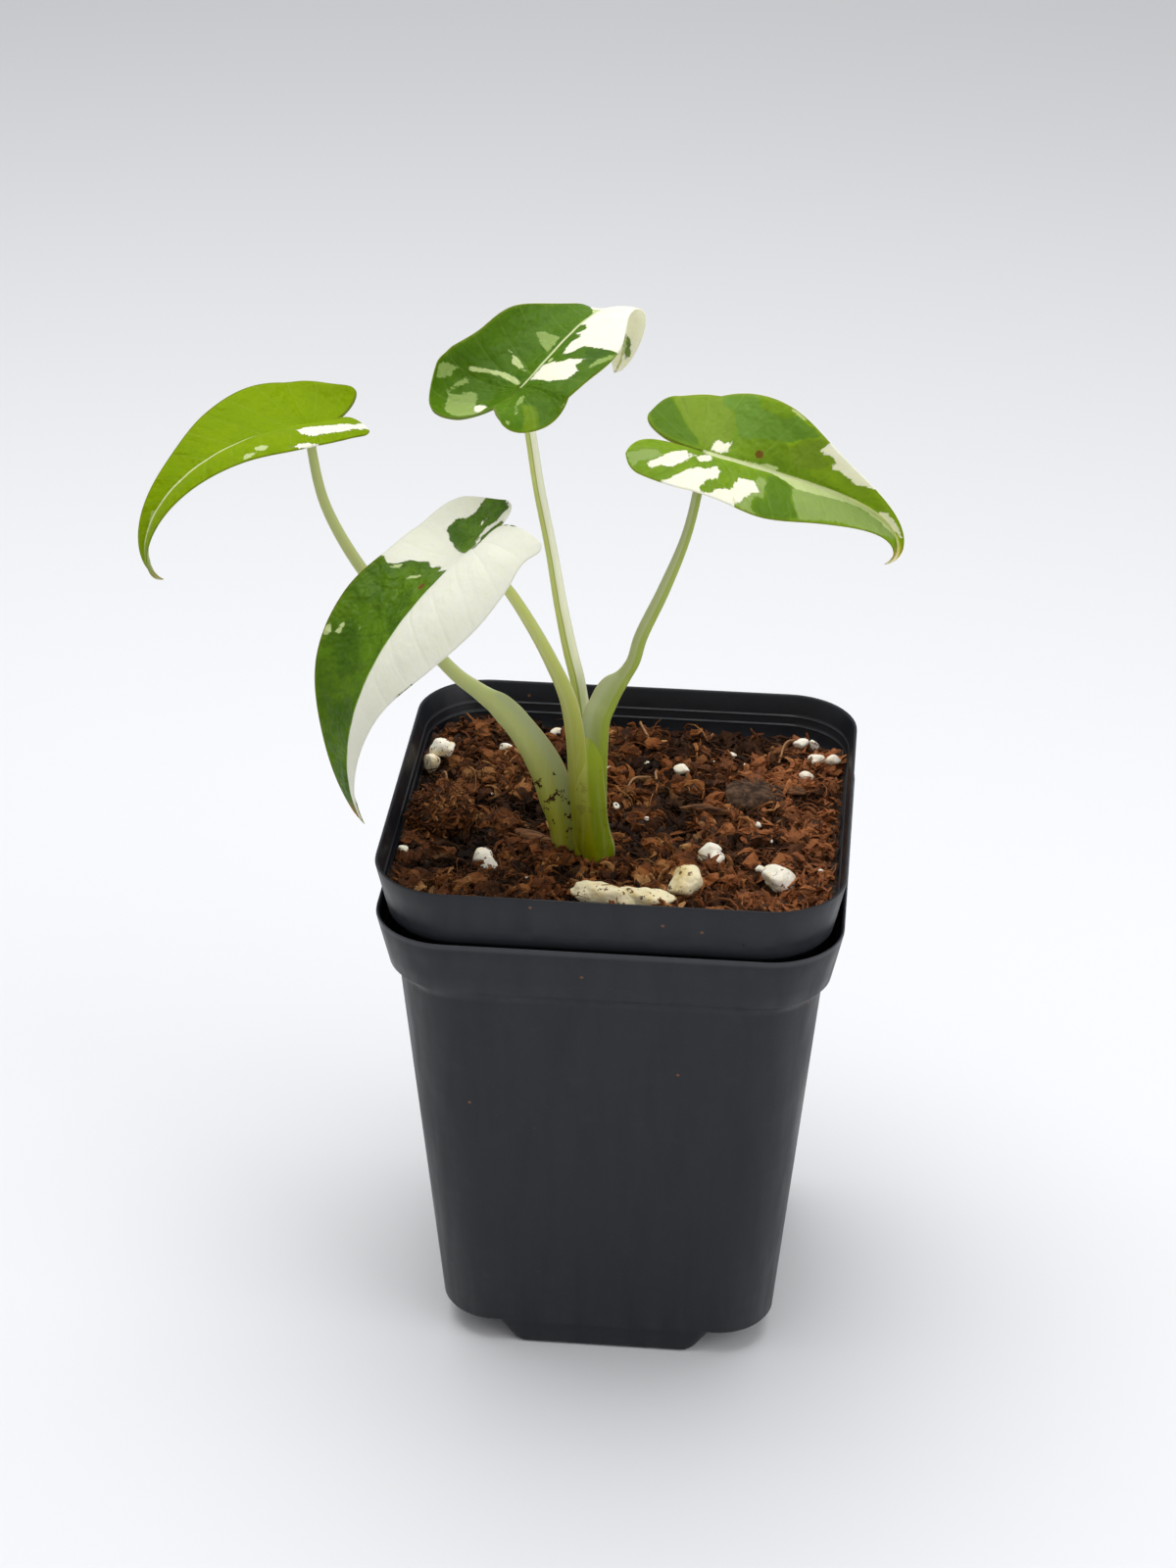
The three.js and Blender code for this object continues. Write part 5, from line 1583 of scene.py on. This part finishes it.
# %% Stones, grains and the lump of peat
# Each stone is one to three lobes: middle, size and turn about the upright
STONES = [
    [((-0.6, -34, 106), (13, 6.6, 6.2), -6), ((6.6, -33.8, 105.6), (13, 6, 5.6), 2)],
    [((14.4, -29, 107), (7.4, 7, 6.8), 20)],
    [((31.8, -24.5, 106.6), (6.6, 5.8, 5.6), -25), ((28, -23.5, 108), (2, 1.6, 1.6), 30)],
    [((-25.6, -21.6, 106.3), (4.4, 3.6, 3.4), 35), ((-24, -23, 105.4), (4, 3.4, 3.6), -20),
     ((-25.6, -24, 104.4), (2.2, 2, 2), 0)],
    [((-38.7, 21.6, 106.6), (5.4, 4.8, 4.4), 15), ((-40.6, 18.6, 104.6), (3.4, 4, 4.6), 0)],
    [((18.1, -13.6, 105.8), (4.6, 4, 4), 30), ((16.6, -14.2, 104.6), (2.4, 2.4, 2.4), 0)],
    [((10, 22, 104.4), (3.2, 2.6, 2.6), 0)],
    [((33.4, 36.4, 104), (3.2, 2.6, 2.8), -8), ((36.2, 36.2, 103.8), (2, 2, 2.4), 0)],
]
# The first stones are of the cream kind
CREAM_STONES = 2
# Middle x and y and the width of the small perlite grains
GRAINS = [(19, 33.3, 2.7), (15.9, 27.9, 1), (22.5, 27.1, 0.9), (2.5, 27, 1.1), (-4.6, 20.5, 1.2),
          (-1.7, 3.8, 1.6), (4.6, -1.2, 1), (8.2, 2.7, 0.8), (26.5, -0.7, 1.5), (37, 26.1, 2.8),
          (40.4, 26.5, 2.6), (35.2, 21.5, 2.8), (19.8, -16.2, 3), (39.7, -19.1, 1), (29.5, -6.1, 0.8),
          (-17.1, 37.8, 2.5), (-26.4, 25.3, 2.2), (-29.5, 22.7, 1), (-18.9, 34.6, 0.9), (-27.4, 8, 1.1),
          (-36, 3.5, 2.2), (-41.2, -19.7, 1.9), (-16.5, -26.2, 0.6), (-7, 26, 0.7), (30, 8, 0.7)]
LUMP_AT = (25.1, 12.6)
LUMP_SIZE = (15, 15, 4.4)

for number, lobes in enumerate(STONES, 1):
    finish = cream_pumice if number <= CREAM_STONES else white_pumice
    stone = make_pebbles(f"stone_{number}_pitted", lobes, STONE_DETAIL, finish, 10 * number)
    settle(stone, f"stone_{number}", slot="pumice")
grain_lobes = [((x, y, mix_height(x, y) + 0.7 + 0.2 * w), (1.2 * w, w, 0.8 * w), 40 * x)
               for x, y, w in GRAINS]
settle(make_pebbles("perlite_grains", grain_lobes, GRAIN_DETAIL, white_pumice, 200), slot="pumice")
lump = [((*LUMP_AT, mix_height(*LUMP_AT) + 0.9), LUMP_SIZE, 20)]
settle(make_pebbles("peat_lump", lump, STONE_DETAIL, peat.material, 300), slot="coir_mix")

# %% [markdown]
# At the left a clump of coir as big as a fingertip holds together. Raising the mix there would
# make a smooth hill, so it is a ball of its own, pressed like a stone, and the tree that covers
# the mix covers it too, with small crumbs and many short shreds.

# %% The clump of coir
CLUMP_AT = (-36, -5.5)
CLUMP_LIFT = 3.6
CLUMP_SIZE = (11.4, 11.4, 9.6)
# Copies per square metre, smallest and largest size, tilt in radians, gap to the edge
COVER = {
    "clump_crumbs": (CRUMBS, 900000, 0.3, 0.7, 0.7, 1.0),
    "clump_shreds": (SHREDS, 1500000, 1.0, 1.8, 0.7, 1.0),
}

clump_middle = (*CLUMP_AT, MIX_TOP + CLUMP_LIFT)
clump = make_pebbles("coir_clump", [(clump_middle, CLUMP_SIZE, 20)], CLUMP_DETAIL, coir.material, 310)
clump_points = len(clump.data.vertices)
# A hollow of 0.1 gives the clump's crumbs a trace of painted shade
keep(clump.data, from_wall=np.full(clump_points, 10.0), hollow=np.full(clump_points, 0.1))
settle(clump, slot="coir_mix")
for seed, (title, row) in enumerate(COVER.items(), 5):
    scatter(title, clump, seed, *row)
for shape in CRUMBS + LUMPS + SHREDS + FIBRES:
    bpy.data.objects.remove(shape)
print("the clump is", CLUMP_SIZE[0], "mm wide")

# %% [markdown]
# Bark chips are splinters with a long grain. They are made like the stones, only long and flat.
# The corm keeps the plain model's shape, because the mix hides it, and gets a fibrous skin.

# %% Bark and corm
# Middle, size and turn of each chip
BARK = [((15.8, 3.8, 105.3), (9.5, 2.4, 2), -3), ((-16.6, -11, 105.4), (8.2, 3.8, 2), -28),
        ((33, 14.4, 104.9), (6.6, 3.4, 1.6), -12)]

bark = Finish("bark")
grain = bark.noise(bark.stretched(bark.place, (240, 1500, 900)), scale=1, detail=5, roughness=0.65)
bark.put(Base_Color=bark.blend(bark.step(grain, 0.35, 0.65), tint(54, 32, 18), tint(132, 88, 54)))
bark.put(Roughness=0.85, Specular_IOR_Level=0.25, Normal=bark.bump(grain, depth_mm=0.5))
for number, chip in enumerate(BARK, 1):
    piece = make_pebbles(f"bark_{number}_grained", [chip], CLUMP_DETAIL, bark.material, 400 + number)
    settle(piece, f"bark_{number}", slot="bark")
corm = Finish("corm_skin")
fibre = corm.noise(corm.stretched(corm.place, (1200, 1200, 160)), scale=1, detail=4)
corm.put(Base_Color=corm.blend(corm.step(fibre, 0.35, 0.65), tint(88, 58, 34), tint(168, 128, 84)))
corm.put(Roughness=0.85, Normal=corm.bump(fibre, depth_mm=0.3))
for mesh_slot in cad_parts["corm"].material_slots:
    mesh_slot.material = corm.material
print("corm slots:", len(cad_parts["corm"].material_slots))

# %% [markdown]
# The picture is taken in a studio: a pale plain floor, painted darker towards the back as
# painted shade, a large soft light from above, weaker ones from the left and the right, and an
# even white surround. One hard lamp would be simpler, but it would draw a black shadow. The
# camera stands three quarters of a metre away, looking down by 28 degrees.

# %% Floor
HALF_FLOOR = 3000
FLOOR_NEAR = tint(232, 233, 236)
FLOOR_FAR_SHADE = tint(205, 206, 209)

floor_finish = Finish("floor")
# Painted shade: the floor darkens towards the back, where less light reaches it
shade_to_back = floor_finish.step(floor_finish.axis(floor_finish.place, 1), 0.0, 0.9)
floor_finish.put(Base_Color=floor_finish.blend(shade_to_back, FLOOR_NEAR, FLOOR_FAR_SHADE), Roughness=0.8)
floor_corners = [(-HALF_FLOOR, -HALF_FLOOR, 0), (HALF_FLOOR, -HALF_FLOOR, 0),
                 (HALF_FLOOR, HALF_FLOOR, 0), (-HALF_FLOOR, HALF_FLOOR, 0)]
floor = make_mesh("floor", floor_corners, [(0, 1, 2, 3)], floor_finish.material, smooth=False)
print("floor:", 2 * HALF_FLOOR * MM, "m wide")

# %% Lights
# Place and aim in metres, size in metres, and power in watts
LIGHTS = {
    "key_light": ((-0.1, 0.2, 1.1), (0, 0.1, 0), (1.1, 1.1), 10.5),
    "side_light": ((-0.9, -0.25, 0.45), (0, 0, 0.08), (0.3, 0.7), 0.15),
    "fill_light": ((0.9, -0.5, 0.5), (0, 0, 0.1), (0.8, 0.9), 3.6),
}
SURROUND = 0.5

for name, (place, aim, size, power) in LIGHTS.items():
    light = bpy.data.lights.new(name, "AREA")
    light.shape = "RECTANGLE"
    light.size, light.size_y = size
    light.energy = power
    lamp = bpy.data.objects.new(name, light)
    bpy.context.scene.collection.objects.link(lamp)
    lamp.location = place
    lamp.rotation_euler = (Vector(aim) - Vector(place)).to_track_quat("-Z", "Y").to_euler()
world = bpy.data.worlds.new("studio")
world.use_nodes = True
background = world.node_tree.nodes["Background"]
background.inputs["Color"].default_value = (1, 1, 1, 1)
background.inputs["Strength"].default_value = SURROUND
bpy.context.scene.world = world
bpy.context.scene.view_settings.view_transform = "Standard"
print("lights:", ", ".join(LIGHTS))

# %% Camera
CAMERA_AT = (50.8, -647.5, 463.4)
CAMERA_AZIMUTH = 5.11
CAMERA_ELEVATION = 28.41
CAMERA_ROLL = 0.52
CAMERA_LENS = 86.24

lens = bpy.data.cameras.new("camera")
lens.lens = CAMERA_LENS
lens.sensor_width = 36
lens.clip_start = 0.01
camera = bpy.data.objects.new("camera", lens)
bpy.context.scene.collection.objects.link(camera)
turn = (Matrix.Rotation(math.radians(CAMERA_AZIMUTH), 4, "Z")
        @ Matrix.Rotation(math.radians(90 - CAMERA_ELEVATION), 4, "X")
        @ Matrix.Rotation(math.radians(CAMERA_ROLL), 4, "Z"))
camera.matrix_world = Matrix.Translation(Vector(CAMERA_AT) * MM) @ turn
bpy.context.scene.camera = camera
print("camera at", [round(v, 3) for v in camera.location])
